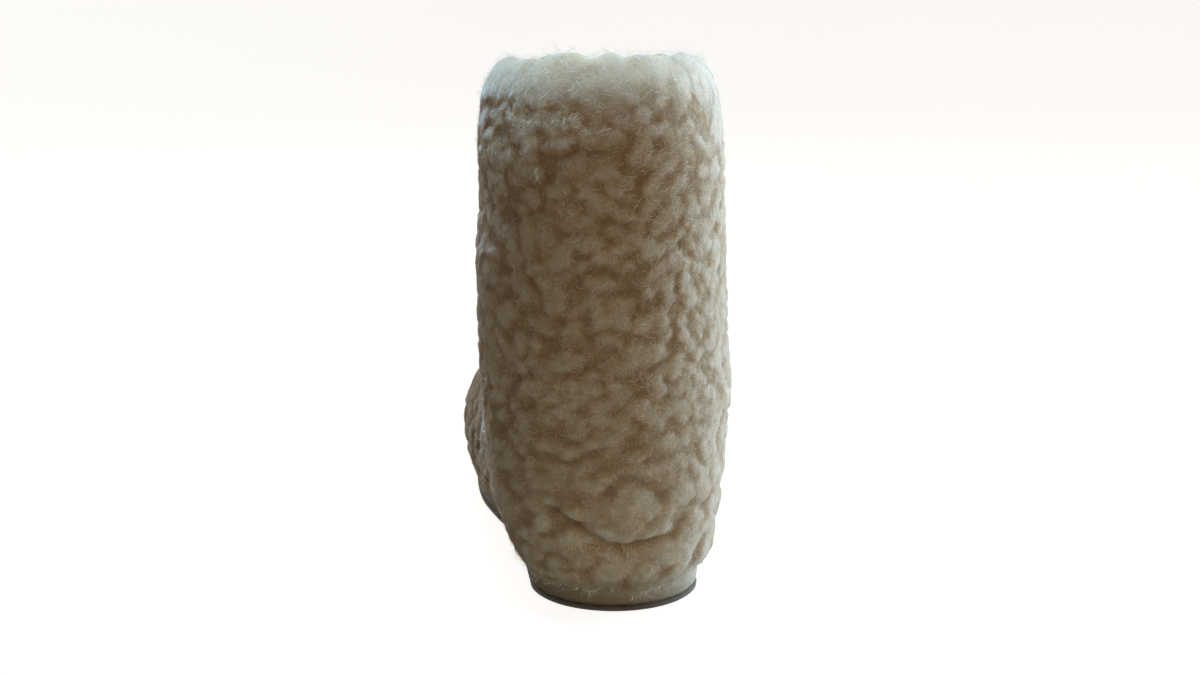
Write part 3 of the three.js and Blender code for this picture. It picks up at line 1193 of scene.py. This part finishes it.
@dataclass(frozen=True)
class Fibres:
    """Wool fibres in small flat strands that curl over the pile. Most lie on it and some stand off."""

    zone: Zone
    count: int
    seed: int
    length: Range = (3 * MM, 7 * MM)
    width: float = 0.13 * MM
    standing_width: float = 0.6
    tip_width: float = 0.25
    tip_share: float = 0.08
    mottle: float = 0.16
    base_tone: float = 0.05
    lift_painted_light: float = 0.15
    pale_share: float = 0.14
    pale_tone: float = 0.6
    pale_width: float = 2.0
    points: int = 4
    swirl_pull: float = 0.8
    stray: float = 0.9
    twist_step: float = 0.2
    bend: float = 1.5
    bend_spread: float = 0.9
    bend_from: float = 0.3
    lying_lift: Range = (0.2 * MM, 0.8 * MM)
    standing_lift: Range = (0.8 * MM, 2.4 * MM)
    standing_share: float = 0.3
    standing_power: float = 1.5
    clump_round: float = 6 * MM

    def build(self, surface: Surface, pile: Pile, chosen: Array) -> bpy.types.Object:
        """Strands over the chosen cells of a surface, shared out by area.

        Each starts on the pile and walks along the surface while its heading turns steadily, so it curls;
        it lifts as lift * sin(pi s) if it lies and lift * s^standing_power if it stands, and sinks by
        d^2 / 2R to follow the clump, with d the distance from its start and R the clump's round.

        Args:
            surface: The pile.
            pile: Its clumps, which give the strands their heading.
            chosen: 1 for each cell of the grid that carries strands, else 0.

        Returns:
            The joined strands as one object.
        """
        rng = np.random.default_rng(self.seed)
        base, start, normal, tone = surface.sampled(*self.places(surface, chosen, rng))
        side = unit(np.cross(UP, normal))
        up = np.cross(normal, side)
        heading, bend = self.headings(pile, base, side, up, rng)
        length = rng.uniform(*self.length, self.count)
        stands = rng.random(self.count) < self.standing_share
        high, low = rng.uniform(*self.standing_lift, self.count), rng.uniform(*self.lying_lift, self.count)
        lift = np.where(stands, high, low)
        along = np.linspace(0.0, 1.0, self.points)
        angle = heading[:, None] + bend[:, None] * (along - self.bend_from)
        step = length[:, None] / (self.points - 1)
        sideways = np.cumsum(np.cos(angle) * step, 1) - np.cos(angle) * step
        upwards = np.cumsum(np.sin(angle) * step, 1) - np.sin(angle) * step
        arch = np.where(stands[:, None], along**self.standing_power, np.sin(math.pi * along))
        raised = lift[:, None] * arch - (sideways**2 + upwards**2) / (2 * self.clump_round)
        spine = start[:, None]
        for way, move in ((side, sideways), (up, upwards), (normal, raised)):
            spine = spine + way[:, None] * move[..., None]
        flat = unit(np.cross(np.gradient(spine, axis=1), normal[:, None]))
        pale = rng.random(self.count) < self.pale_share
        breadth = self.width * np.where(pale, self.pale_width, np.where(stands, self.standing_width, 1.0))
        swell = np.sin(math.pi * np.clip(along, self.tip_share, 1.0 - self.tip_share))
        half = 0.5 * breadth[:, None] * (self.tip_width + (1.0 - self.tip_width) * swell)
        ribbon = np.stack([spine - flat * half[..., None], spine + flat * half[..., None]], 2)
        own = rng.normal(0.0, self.mottle, self.count) + self.pale_tone * pale
        # Painted light and shade: a strand is paler where it lifts off the pile and deeper in tone where it
        # lies on it.
        shade = np.clip(tone[:, None] + self.base_tone + self.lift_painted_light * arch + own[:, None], 0.0, 1.0)
        shade = np.repeat(shade[..., None], 2, axis=2)
        return make_object(self.zone.value, ribbon.reshape(-1, 3), self.faces(), shade.reshape(-1))

    def headings(
        self, pile: Pile, base: Array, side: Array, up: Array, rng: np.random.Generator
    ) -> tuple[Array, Array]:
        """Which way the strands set out and how far they turn.

        A strand takes its clump's own heading, is pulled towards a swirl round the clump's middle, strays a
        little and is combed; all strands of a clump turn the same way.

        Args:
            pile: The clumps.
            base: Where the strands stand on the smooth wall.
            side: The level way along the surface there.
            up: The way up the surface there.
            rng: Source of the scatter.

        Returns:
            Headings from side towards up, and turns along the strand, both as angles.
        """
        clump = pile.clump(base)
        swirl = np.arctan2(np.sum(clump.centre * up, -1), np.sum(clump.centre * side, -1)) + math.pi / 2
        twist = np.where(np.mod(clump.heading, self.twist_step) > self.twist_step / 2, 1.0, -1.0)
        heading = clump.heading + self.swirl_pull * np.sin(swirl - clump.heading)
        heading = pile.combed(base, heading + rng.normal(0.0, self.stray, self.count), rng)
        return heading, twist * rng.normal(self.bend, self.bend_spread, self.count)

    def places(self, surface: Surface, chosen: Array, rng: np.random.Generator) -> tuple[Array, Array]:
        """Evenly scattered places on the chosen cells.

        Args:
            surface: The pile.
            chosen: 1 for each cell that carries strands.
            rng: Source of the scatter.

        Returns:
            Row and column numbers with fractions.
        """
        points = surface.points
        down = points[1:] - points[:-1]
        across = (np.roll(points, -1, axis=1) - points)[:-1]
        area = np.linalg.norm(np.cross(across, down), axis=-1) * chosen
        total = np.cumsum(area.reshape(-1))
        aims = (np.arange(self.count) + rng.random(self.count)) / self.count * total[-1]
        cell = np.minimum(np.searchsorted(total, aims), total.size - 1)
        row, column = np.divmod(cell, points.shape[1])
        return row + rng.random(self.count), column + rng.random(self.count)

    def faces(self) -> Indices:
        """Four-cornered faces of every strand, from one pair of points to the next.

        Returns:
            Four point numbers for each face.
        """
        strand = np.arange(self.count)[:, None] * (2 * self.points)
        pair = 2 * np.arange(self.points - 1)[None, :]
        return ((strand + pair)[..., None] + np.array([0, 2, 3, 1])).reshape(-1, 4)


FIBRES = (
    Fibres(Zone.SHAFT_BACK, count=30000, seed=1),
    Fibres(Zone.SHAFT_FRONT, count=23000, seed=2),
    Fibres(Zone.FOOT_OUTER, count=26000, seed=3),
    Fibres(Zone.FOOT_INNER, count=26000, seed=4),
    Fibres(
        Zone.COLLAR,
        count=15000,
        seed=5,
        length=(3.5 * MM, 8 * MM),
        width=0.12 * MM,
        mottle=0.12,
        pale_share=0.16,
        bend=0.9,
        standing_lift=(1.5 * MM, 4 * MM),
        standing_share=0.4,
    ),
)


@dataclass(frozen=True)
class Upper:
    """The hollow wool upper: drooping hem, outer face, rounded collar and lining in one closed skin."""

    last: Last
    pile: Pile = Pile()
    wall: float = 8 * MM
    foot_free: float = 0.5
    foot_fade: float = 8 * MM
    collar_wall: float = 17 * MM
    collar_fade: float = 40 * MM
    collar_ease: float = 2.4 * MM
    ease_from: float = 184 * MM
    rim_rise: float = 17 * MM
    rim_peak: float = 0.72
    rim_round: float = 1.5
    rim_fluff: float = 1.5 * MM
    rim_fade: float = 0.5
    calm_reach: int = 10
    calm_power: int = 6
    inner_dip: float = 3 * MM
    outer_dip: float = 2 * MM
    front_dip: float = 4 * MM
    lobe: float = 0.8 * MM
    lobes: tuple[int, int] = (9, 14)
    lobe_starts: Range = (0.6, 2.1)
    second_lobe: float = 0.7
    notch: float = 2.4 * MM
    notch_half: float = 5 * MM
    hem_drop: float = 1.8 * MM
    hem_least: float = 0.15
    hem_turn: Range = (0.15, 0.75)
    hem_round: float = 0.6
    hem_tone: float = 0.55
    hem_clear: float = 0.5 * MM
    tufts: Clumps = Clumps(wide=11 * MM, tall=30 * MM, salt=83)
    columns: int = 440
    hem_rows: int = 6
    low_rows: int = 44
    vamp_rows: int = 52
    shaft_rows: int = 78
    collar_rows: int = 4
    rim_rows: int = 18
    lining_rows: int = 24
    furred_lining_rows: int = 4
    back_half: float = 0.25
    low_top: float = 50 * MM
    vamp_top: float = 120 * MM
    lining_calm: float = 0.45

    @property
    def rim_base(self) -> float:
        """Height at which the collar starts to round over."""
        return self.last.boot_height - self.rim_rise

    def turns(self) -> Array:
        """Places round the boot, one for each column."""
        return np.arange(self.columns)[None, :] / self.columns

    def outer_heights(self) -> Array:
        """Heights of the outer face's rows, closer together on the vamp, where the wall lies flat.

        Returns:
            The heights, one to a row.
        """
        low = np.linspace(self.last.feather, self.low_top, self.low_rows, endpoint=False)
        vamp = np.linspace(self.low_top, self.vamp_top, self.vamp_rows, endpoint=False)
        shaft = np.linspace(self.vamp_top, self.rim_base, self.shaft_rows)
        return np.concatenate([low, vamp, shaft])[:, None]

    def folds(self, turn: Array, height: Array, base: Array) -> Array:
        """All the folds' and creases' moves added up."""
        swells = sum(fold.offset(turn, height) for fold in FOLDS)
        return swells + sum(crease.offset(base) for crease in CREASES)

    def outer_face(self) -> Surface:
        """The outer face: the last's wall moved out by folds and pile.

        It moves by the share foot_free at the sole and is eased in towards the collar. Tufts droop where the
        wall is upright.

        Returns:
            The face, from the sole up.
        """
        turn, height = self.turns(), self.outer_heights()
        base, normal = self.last.wall(turn, height), self.last.wall_normal(turn, height)
        offset, tone = self.pile.relief(base)
        rise = smooth(height, self.last.feather, self.last.feather + self.foot_fade)
        free = self.foot_free + (1.0 - self.foot_free) * rise
        ease = self.collar_ease * smooth(height, self.ease_from, self.last.boot_height)
        move = free * (offset + self.folds(turn, height, base)) - ease
        points = base + normal * move[..., None]
        points[..., 2] -= self.pile.droop * np.maximum(free * offset, 0.0) * (1.0 - np.abs(normal[..., 2]))
        # Painted shade along the creases.
        tone = np.clip(tone - sum(crease.shade(base) for crease in CREASES), 0.0, 1.0)
        return Surface(base, points, grid_normals(points), tone)

    def wall_thickness(self, height: Array) -> Array:
        """Even, then thicker where the pile turns in at the collar."""
        share = smooth(height, self.last.boot_height - self.collar_fade, self.rim_base)
        return self.wall + (self.collar_wall - self.wall) * share

    def lining(self) -> Surface:
        """The inner face: the wall moved in by its thickness, with a calmer pile, cut level with the feather.

        Returns:
            The face, from the collar down.
        """
        turn = self.turns()
        height = np.linspace(self.rim_base, self.last.feather, self.lining_rows)[:, None]
        inwards = self.last.wall_normal(turn, height) * -self.wall_thickness(height)[..., None]
        base = self.last.wall(turn, height) + inwards
        offset, tone = self.pile.relief(base)
        points = base + unit(inwards) * (self.lining_calm * offset)[..., None]
        points[-1, :, 2] = self.last.feather + self.last.sole_lift(points[-1, :, 1] + self.last.heel_seat)
        return Surface(base, points, grid_normals(points), tone)

    def rim_height(self, outer: Array) -> Array:
        """Height of the collar's top over its base.

        It dips at the sides and the front by squared sines, waves in broad lobes by two sines, and has a
        bell-shaped notch at the back.

        Args:
            outer: Last loop of the outer face.

        Returns:
            The height, one for each column.
        """
        around = 2.0 * math.pi * self.turns()[0]
        side, ahead = np.sin(around), np.maximum(0.0, -np.cos(around))
        dip = np.where(side > 0, self.outer_dip, self.inner_dip) * side**2 + self.front_dip * ahead**2
        waves = np.sin(self.lobes[0] * around + self.lobe_starts[0])
        waves = waves + self.second_lobe * np.sin(self.lobes[1] * around + self.lobe_starts[1])
        notch = self.notch * (np.cos(around) > 0) * bell(outer[:, 0], self.notch_half)
        return self.rim_rise + self.rim_fluff - dip + self.lobe * waves - notch

    def calmed(self, loop: Array) -> Array:
        """A loop without its tufts: each point moved to the mean of its neighbours."""
        steps = range(-self.calm_reach, self.calm_reach + 1)
        return np.mean([np.roll(loop, step, axis=0) for step in steps], axis=0)

    def rim(self, outer: Array, inner: Array) -> tuple[Array, Array, Array]:
        """The collar: an arc from the outer face over a peak to the lining, with its own pile.

        The way across goes with the cosine of the arc's angle, further before the peak than after it, and the
        height with its sine to the power rim_round. The end loops' tufts fade by the way left to calm_power.

        Args:
            outer: Last loop of the outer face.
            inner: First loop of the lining.

        Returns:
            Smooth points, points and tone.
        """
        angle = math.pi * np.linspace(0.0, 1.0, self.rim_rows + 2)[1:-1, None]
        reach = np.where(angle < math.pi / 2, self.rim_peak, 1.0 - self.rim_peak)
        across = (self.rim_peak - reach * np.cos(angle))[..., None]
        calm_outer, calm_inner = self.calmed(outer), self.calmed(inner)
        base = calm_outer[None] * (1.0 - across) + calm_inner[None] * across
        base = base + (outer - calm_outer)[None] * (1.0 - across) ** self.calm_power
        base = base + (inner - calm_inner)[None] * across**self.calm_power
        base[..., 2] += self.rim_height(outer) * np.sin(angle) ** self.rim_round
        offset, tone = self.pile.relief(base)
        fade = np.sin(angle) ** self.rim_fade
        return base, base + grid_normals(base) * (fade * offset)[..., None], tone

    def hem(self, first: Array, tone: Array) -> tuple[Array, Array]:
        """The hem below the outer face: it hangs over the band in lobes and tucks back against the midsole.

        Args:
            first: Lowest loop of the outer face.
            tone: Its tone.

        Returns:
            Loops from the tuck, down to the hem's edge and up to the outer face, and their tone.
        """
        x, station = self.last.outline(self.last.sole_edge(-self.hem_clear), self.turns()[0])
        lift = self.last.sole_lift(station)
        tuck = np.stack([x, station - self.last.heel_seat, self.last.feather + lift], -1)
        lobes = self.hem_least + (1.0 - self.hem_least) * self.tufts.at(first).puff ** 2
        drop = self.hem_drop * lobes + sum(tuft.fall(first) for tuft in HEM_TUFTS)
        share = np.linspace(0.0, 1.0, self.hem_rows)[:, None, None]
        loops = tuck[None] + (first - tuck)[None] * smooth(share, *self.hem_turn)
        loops = loops - (drop[None, :, None] * np.sin(math.pi * share) ** self.hem_round) * UP
        # The hem's tone is held at hem_tone or more, so the painted shade between clumps stays off the hem.
        return loops[:-1], np.broadcast_to(np.maximum(tone, self.hem_tone), loops.shape[:2])[:-1]

    def build(self) -> tuple[bpy.types.Object, Surface]:
        """Joins hem, outer face, collar and lining in a ring of loops.

        Returns:
            The object without its finish, and the surface that carries the fibres, from hem to lining.
        """
        outer, lining = self.outer_face(), self.lining()
        rim_base, rim, rim_tone = self.rim(outer.points[-1], lining.points[0])
        hem, hem_tone = self.hem(outer.points[0], outer.tone[0])
        points = np.concatenate([hem, outer.points, rim, lining.points])
        base = np.concatenate([hem, outer.smooth_points, rim_base, lining.smooth_points])
        tone = np.concatenate([hem_tone, outer.tone, rim_tone, lining.tone])
        faces = grid_faces(len(points), self.columns, ring=True)
        piece = make_object("upper_pile", points.reshape(-1, 3), faces, tone.reshape(-1))
        return piece, Surface(base, points, grid_normals(points), tone)

    def zone_cells(self, zone: Zone, surface: Surface) -> Array:
        """Which cells of the surface belong to a zone.

        The foot takes the lower half of the vamp's rows. The collar takes the shaft's topmost rows, the rim
        and the top of the lining.

        Args:
            zone: The zone.
            surface: The pile's surface.

        Returns:
            1 for each cell in the zone, else 0.
        """
        row = np.arange(len(surface.points) - 1)[:, None]
        turn = np.mod(self.turns() + 0.5, 1.0) - 0.5
        vamp_from = self.hem_rows - 1 + self.low_rows
        shaft_from = vamp_from + self.vamp_rows // 2
        collar_from = vamp_from + self.vamp_rows + self.shaft_rows - self.collar_rows
        collar_to = collar_from + self.collar_rows + self.rim_rows + self.furred_lining_rows
        on_shaft = (row >= shaft_from) & (row < collar_from)
        on_foot = (row >= 1) & (row < shaft_from)
        behind = np.abs(turn) < self.back_half
        in_zone = {
            Zone.SHAFT_BACK: on_shaft & behind,
            Zone.SHAFT_FRONT: on_shaft & ~behind,
            Zone.FOOT_OUTER: on_foot & (turn >= 0),
            Zone.FOOT_INNER: on_foot & (turn < 0),
            Zone.COLLAR: (row >= collar_from) & (row < collar_to),
        }
        return in_zone[zone] * np.ones_like(turn)

    def dressed(self) -> None:
        """Builds the pile and its fibres, and dresses them."""
        piece, surface = self.build()
        dress(piece, PILE, "upper_wool", "upper")
        for fibres in FIBRES:
            strands = fibres.build(surface, self.pile, self.zone_cells(fibres.zone, surface))
            dress(strands, FIBRE, "upper_wool")


# The sole


# Edge profiles from the underside up: height as a share of the thickness, and how far the edge is moved in.
OUTSOLE_PROFILE: Path = ((0.0, 1.2 * MM), (0.3, 0.3 * MM), (0.75, 0.2 * MM), (1.0, 0.9 * MM))
MIDSOLE_PROFILE: Path = (
    (0.0, 1.8 * MM),
    (0.14, 0.6 * MM),
    (0.42, 0.0),
    (0.72, 0.3 * MM),
    (0.9, 1.1 * MM),
    (1.0, 2.4 * MM),
)
INSOLE_PROFILE: Path = (
    (0.0, 0.6 * MM),
    (0.5, 0.0),
    (1.15, 1.0 * MM),
    (1.35, 4.0 * MM),
    (1.15, 10.0 * MM),
    (1.0, 18.0 * MM),
)


@dataclass(frozen=True)
class SoleLayer:
    """A flat piece of the sole: an edge profile carried round an outline, with a face above and below."""

    last: Last
    name: str
    base: float
    thickness: float
    profile: Path
    columns: int = 360
    edge_rows: int = 18
    across: int = 2
    under_across: int = 2
    even_tone: float = 0.6

    def edge(self) -> Section:
        """The outline that the profile is carried round."""
        return self.last.sole_edge()

    def under_relief(self, x: Array, station: Array) -> Array:
        """How far the underside is raised; level here."""
        return np.zeros_like(x)

    def top_relief(self, x: Array, station: Array) -> Array:
        """How far the top is raised; level here."""
        return np.zeros_like(x)

    def tone(self, points: Array) -> Array:
        """Tone of each point; even here."""
        return np.full(len(points), self.even_tone)

    def loops(self) -> Array:
        """The edge: points on the profile's straight lines, each carried round the outline moved in that far.

        Returns:
            Loops of points, from the underside up.
        """
        rise, inset = np.array(self.profile).T
        at = np.concatenate([[0.0], np.cumsum(np.hypot(np.diff(rise) * self.thickness, np.diff(inset)))])
        even = np.unique(np.concatenate([np.linspace(0.0, at[-1], self.edge_rows), at]))
        height, inset = np.interp(even, at, rise) * self.thickness, np.interp(even, at, inset)
        turn = np.arange(self.columns)[None, :] / self.columns
        x, station = self.last.outline(self.edge().moved_in(inset[:, None]), turn)
        z = self.base + height[:, None] + self.last.sole_lift(station)
        return np.stack([x, station - self.last.heel_seat, z], -1)

    def cap(self, loop: Array, level: float, across: int, relief: Callable[[Array, Array], Array]) -> Array:
        """A face across a loop: straight lines from its outer side to its inner side, on the sole's lift.

        Args:
            loop: The loop.
            level: Height of the face on the flat of the sole.
            across: How many cells each line has.
            relief: How far the face is raised at a sideways place and station.

        Returns:
            Rows of points, one row for each line.
        """
        half = self.columns // 2
        outer, inner = loop[: half + 1], loop[-np.arange(half + 1) % self.columns]
        share = np.linspace(0.0, 1.0, across + 1)[None, :, None]
        face = outer[:, None] * (1 - share) + inner[:, None] * share
        station = face[..., 1] + self.last.heel_seat
        raised = level + self.last.sole_lift(station) + relief(face[..., 0], station)
        face[:, 1:-1, 2] = raised[:, 1:-1]
        return face

    def cap_faces(self, across: int) -> Indices:
        """Triangles of a face made of lines, seen from above.

        Args:
            across: How many cells each line has.

        Returns:
            Three point numbers for each triangle.
        """
        wide = across + 1
        cell = np.arange(self.columns // 2)[:, None] * wide + np.arange(across)[None, :]
        return halved(cell, cell + wide, cell + wide + 1, cell + 1)

    def build(self) -> bpy.types.Object:
        """Edge and both faces in one closed skin.

        Returns:
            The object, without its finish.
        """
        loops = self.loops()
        low = self.cap(loops[0], self.base, self.under_across, self.under_relief)
        high = self.cap(loops[-1], self.base + self.thickness, self.across, self.top_relief)
        edge_count, low_count = loops.size // 3, low.size // 3
        points = np.concatenate([part.reshape(-1, 3) for part in (loops, low, high)])
        edge_faces = grid_faces(len(loops), self.columns, ring=False)
        low_faces = self.cap_faces(self.under_across)[:, ::-1] + edge_count
        high_faces = self.cap_faces(self.across) + edge_count + low_count
        points, faces = weld(points, np.concatenate([edge_faces, low_faces, high_faces]))
        return make_object(self.name, points, faces, self.tone(points))


@dataclass(frozen=True)
class Outsole(SoleLayer):
    """The thin grip sole, with fine bars across its underside."""

    bar_pitch: float = 6 * MM
    bar_depth: float = 0.7 * MM
    bar_bow: float = 0.3
    bar_shoulder: Range = (0.3, 0.7)

    def under_relief(self, x: Array, station: Array) -> Array:
        """Shallow grooves: a square-shouldered wave along the sole whose bars bow towards their ends.

        Args:
            x: Sideways places.
            station: Their stations.

        Returns:
            The rise.
        """
        bowed = station + self.bar_bow * np.abs(x)
        wave = smooth(np.cos(2.0 * math.pi * bowed / self.bar_pitch), *self.bar_shoulder)
        return self.bar_depth * wave

    def dressed(self) -> None:
        """Builds the sole in grip rubber."""
        dress(self.build(), GRIP, "outsole_grip", "outsole")


@dataclass(frozen=True)
class Midsole(SoleLayer):
    """The soft platform, wrapped in cloth."""

    def dressed(self) -> None:
        """Builds the platform in its cloth."""
        dress(self.build(), BAND, "midsole_cloth", "midsole")


@dataclass(frozen=True)
class Insole(SoleLayer):
    """The pile footbed inside."""

    pile: Pile = Pile()
    inset: float = 8.6 * MM
    calm: float = 0.4

    def edge(self) -> Section:
        """The upper's inside where it stands on the midsole."""
        return self.last.upper_section(np.array(self.last.feather)).moved_in(self.inset)

    def top_relief(self, x: Array, station: Array) -> Array:
        """A calmer pile than the upper's."""
        place = np.stack([x, station, np.full_like(x, self.last.feather)], -1)
        return self.calm * self.pile.relief(place)[0]

    def tone(self, points: Array) -> Array:
        """The pile's tone, with its painted shade between clumps."""
        return self.pile.relief(points)[1]

    def dressed(self) -> None:
        """Builds the footbed in its pile."""
        dress(self.build(), FOOTBED, "lining_wool", "insole")


# The studio


@dataclass(frozen=True)
class Softbox:
    """A soft rectangular light."""

    name: str
    place: Place
    aim: Place
    size: Range
    power: float
    colour: Colour
    spread: float = math.pi

    def build(self) -> bpy.types.Object:
        """The light, turned to its aim.

        Returns:
            The light's object, which the camera doesn't see.
        """
        light = bpy.data.lights.new(self.name, "AREA")
        light.shape = "RECTANGLE"
        light.size, light.size_y = self.size
        light.energy = self.power
        light.color = self.colour
        light.spread = self.spread
        made = bpy.data.objects.new(self.name, light)
        made.visible_camera = False
        made.location = self.place
        made.rotation_euler = (Vector(self.aim) - Vector(self.place)).to_track_quat("-Z", "Y").to_euler()
        bpy.context.scene.collection.objects.link(made)
        return made


LIGHTS = (
    Softbox(
        name="top_light",
        place=(0.0, 0.05, 1.1),
        aim=(0.0, -0.01, 0.2),
        size=(0.24, 0.14),
        power=0.17,
        colour=(0.52, 0.78, 1.0),
        spread=0.14,
    ),
    Softbox(
        name="collar_light",
        place=(0.0, -0.45, 0.72),
        aim=(0.0, -0.04, 0.226),
        size=(0.25, 0.02),
        power=0.0035,
        colour=(0.66, 0.82, 0.9),
        spread=0.05,
    ),
    Softbox(
        name="side_light",
        place=(1.36, 0.63, 0.22),
        aim=(0.0, 0.0, 0.1),
        size=(1.5, 0.7),
        power=51.0,
        colour=(0.7, 0.87, 1.0),
    ),
    Softbox(
        name="front_light",
        place=(-0.33, 1.4, 0.7),
        aim=(0.0, 0.05, 0.1),
        size=(1.0, 1.0),
        power=8.5,
        colour=(1.0, 0.95, 0.88),
    ),
    Softbox(
        name="fill_light",
        place=(0.55, -1.33, 0.45),
        aim=(0.0, 0.0, 0.08),
        size=(1.8, 0.7),
        power=3.75,
        colour=(1.0, 0.81, 0.6),
    ),
    Softbox(
        name="bounce_light",
        place=(0.0, -0.11, 0.004),
        aim=(0.0, -0.11, 0.5),
        size=(0.22, 0.1),
        power=0.018,
        colour=(0.82, 1.0, 0.97),
    ),
)


@dataclass(frozen=True)
class Studio:
    """A pale floor that sweeps up all round, soft lights, and a camera behind the heel."""

    eye: Place = (-0.090, -0.637, 0.237)
    yaw: float = 0.131
    pitch: float = 0.194
    lens_share: float = 1527 / 1200
    sensor: float = 36.0
    room: Colour = (0.06, 0.037, 0.016)
    floor_reach: float = 2.6
    sweep: float = 1.2
    sweep_rows: int = 24
    wall_top: float = 4.0
    floor_columns: int = 96

    def build(self) -> None:
        """Makes floor, lights, surroundings and camera."""
        self.add_floor()
        for light in LIGHTS:
            light.build()
        self.add_world()
        self.add_camera()
        bpy.context.scene.view_settings.view_transform = "Standard"

    def add_floor(self) -> None:
        """A profile carried round a circle: flat, a quarter circle up, upright. It throws no light back."""
        angle = np.linspace(0.0, math.pi / 2, self.sweep_rows)
        reach = np.concatenate([[0.0], self.floor_reach + self.sweep * np.sin(angle)])
        rise = np.concatenate([[0.0], self.sweep * (1.0 - np.cos(angle))])
        reach, rise = np.append(reach, reach[-1])[:, None], np.append(rise, self.wall_top)[:, None]
        around = 2.0 * math.pi * np.arange(self.floor_columns)[None, :] / self.floor_columns
        x, y, z = np.broadcast_arrays(reach * np.cos(around), reach * np.sin(around), rise)
        faces = grid_faces(len(reach), self.floor_columns, ring=False)[:, ::-1]
        floor = make_object("floor", *weld(np.stack([x, y, z], -1).reshape(-1, 3), faces))
        floor.data.materials.append(FLOOR.material())
        floor.visible_diffuse = False

    def add_world(self) -> None:
        """Dim, slightly warm surroundings."""
        world = bpy.data.worlds.new("room")
        world.use_nodes = True
        world.node_tree.nodes["Background"].inputs["Color"].default_value = (*self.room, 1.0)
        bpy.context.scene.world = world

    def add_camera(self) -> None:
        """The camera: a pinhole at the eye, turned right by yaw and down by pitch."""
        camera = bpy.data.cameras.new("camera")
        camera.sensor_width = self.sensor
        camera.lens = self.lens_share * self.sensor
        made = bpy.data.objects.new("camera", camera)
        made.location = self.eye
        made.rotation_euler = Euler((math.pi / 2 - self.pitch, 0.0, -self.yaw))
        bpy.context.scene.collection.objects.link(made)
        bpy.context.scene.camera = made


def main() -> None:
    """Builds the boot from the floor up, then the studio round it."""
    logging.basicConfig(level=logging.INFO, format="%(message)s")
    low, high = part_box("midsole")
    last = Last(sole_length=high.y - low.y)
    Outsole(last, "outsole_grip", 0.0, last.outsole, OUTSOLE_PROFILE, edge_rows=8, under_across=24).dressed()
    Midsole(last, "midsole_band", last.midsole_base, last.midsole, MIDSOLE_PROFILE).dressed()
    Insole(last, "insole_pile", last.feather, last.insole, INSOLE_PROFILE, edge_rows=10, across=40).dressed()
    Upper(last).dressed()
    Studio().build()


if __name__ == "__main__":
    main()
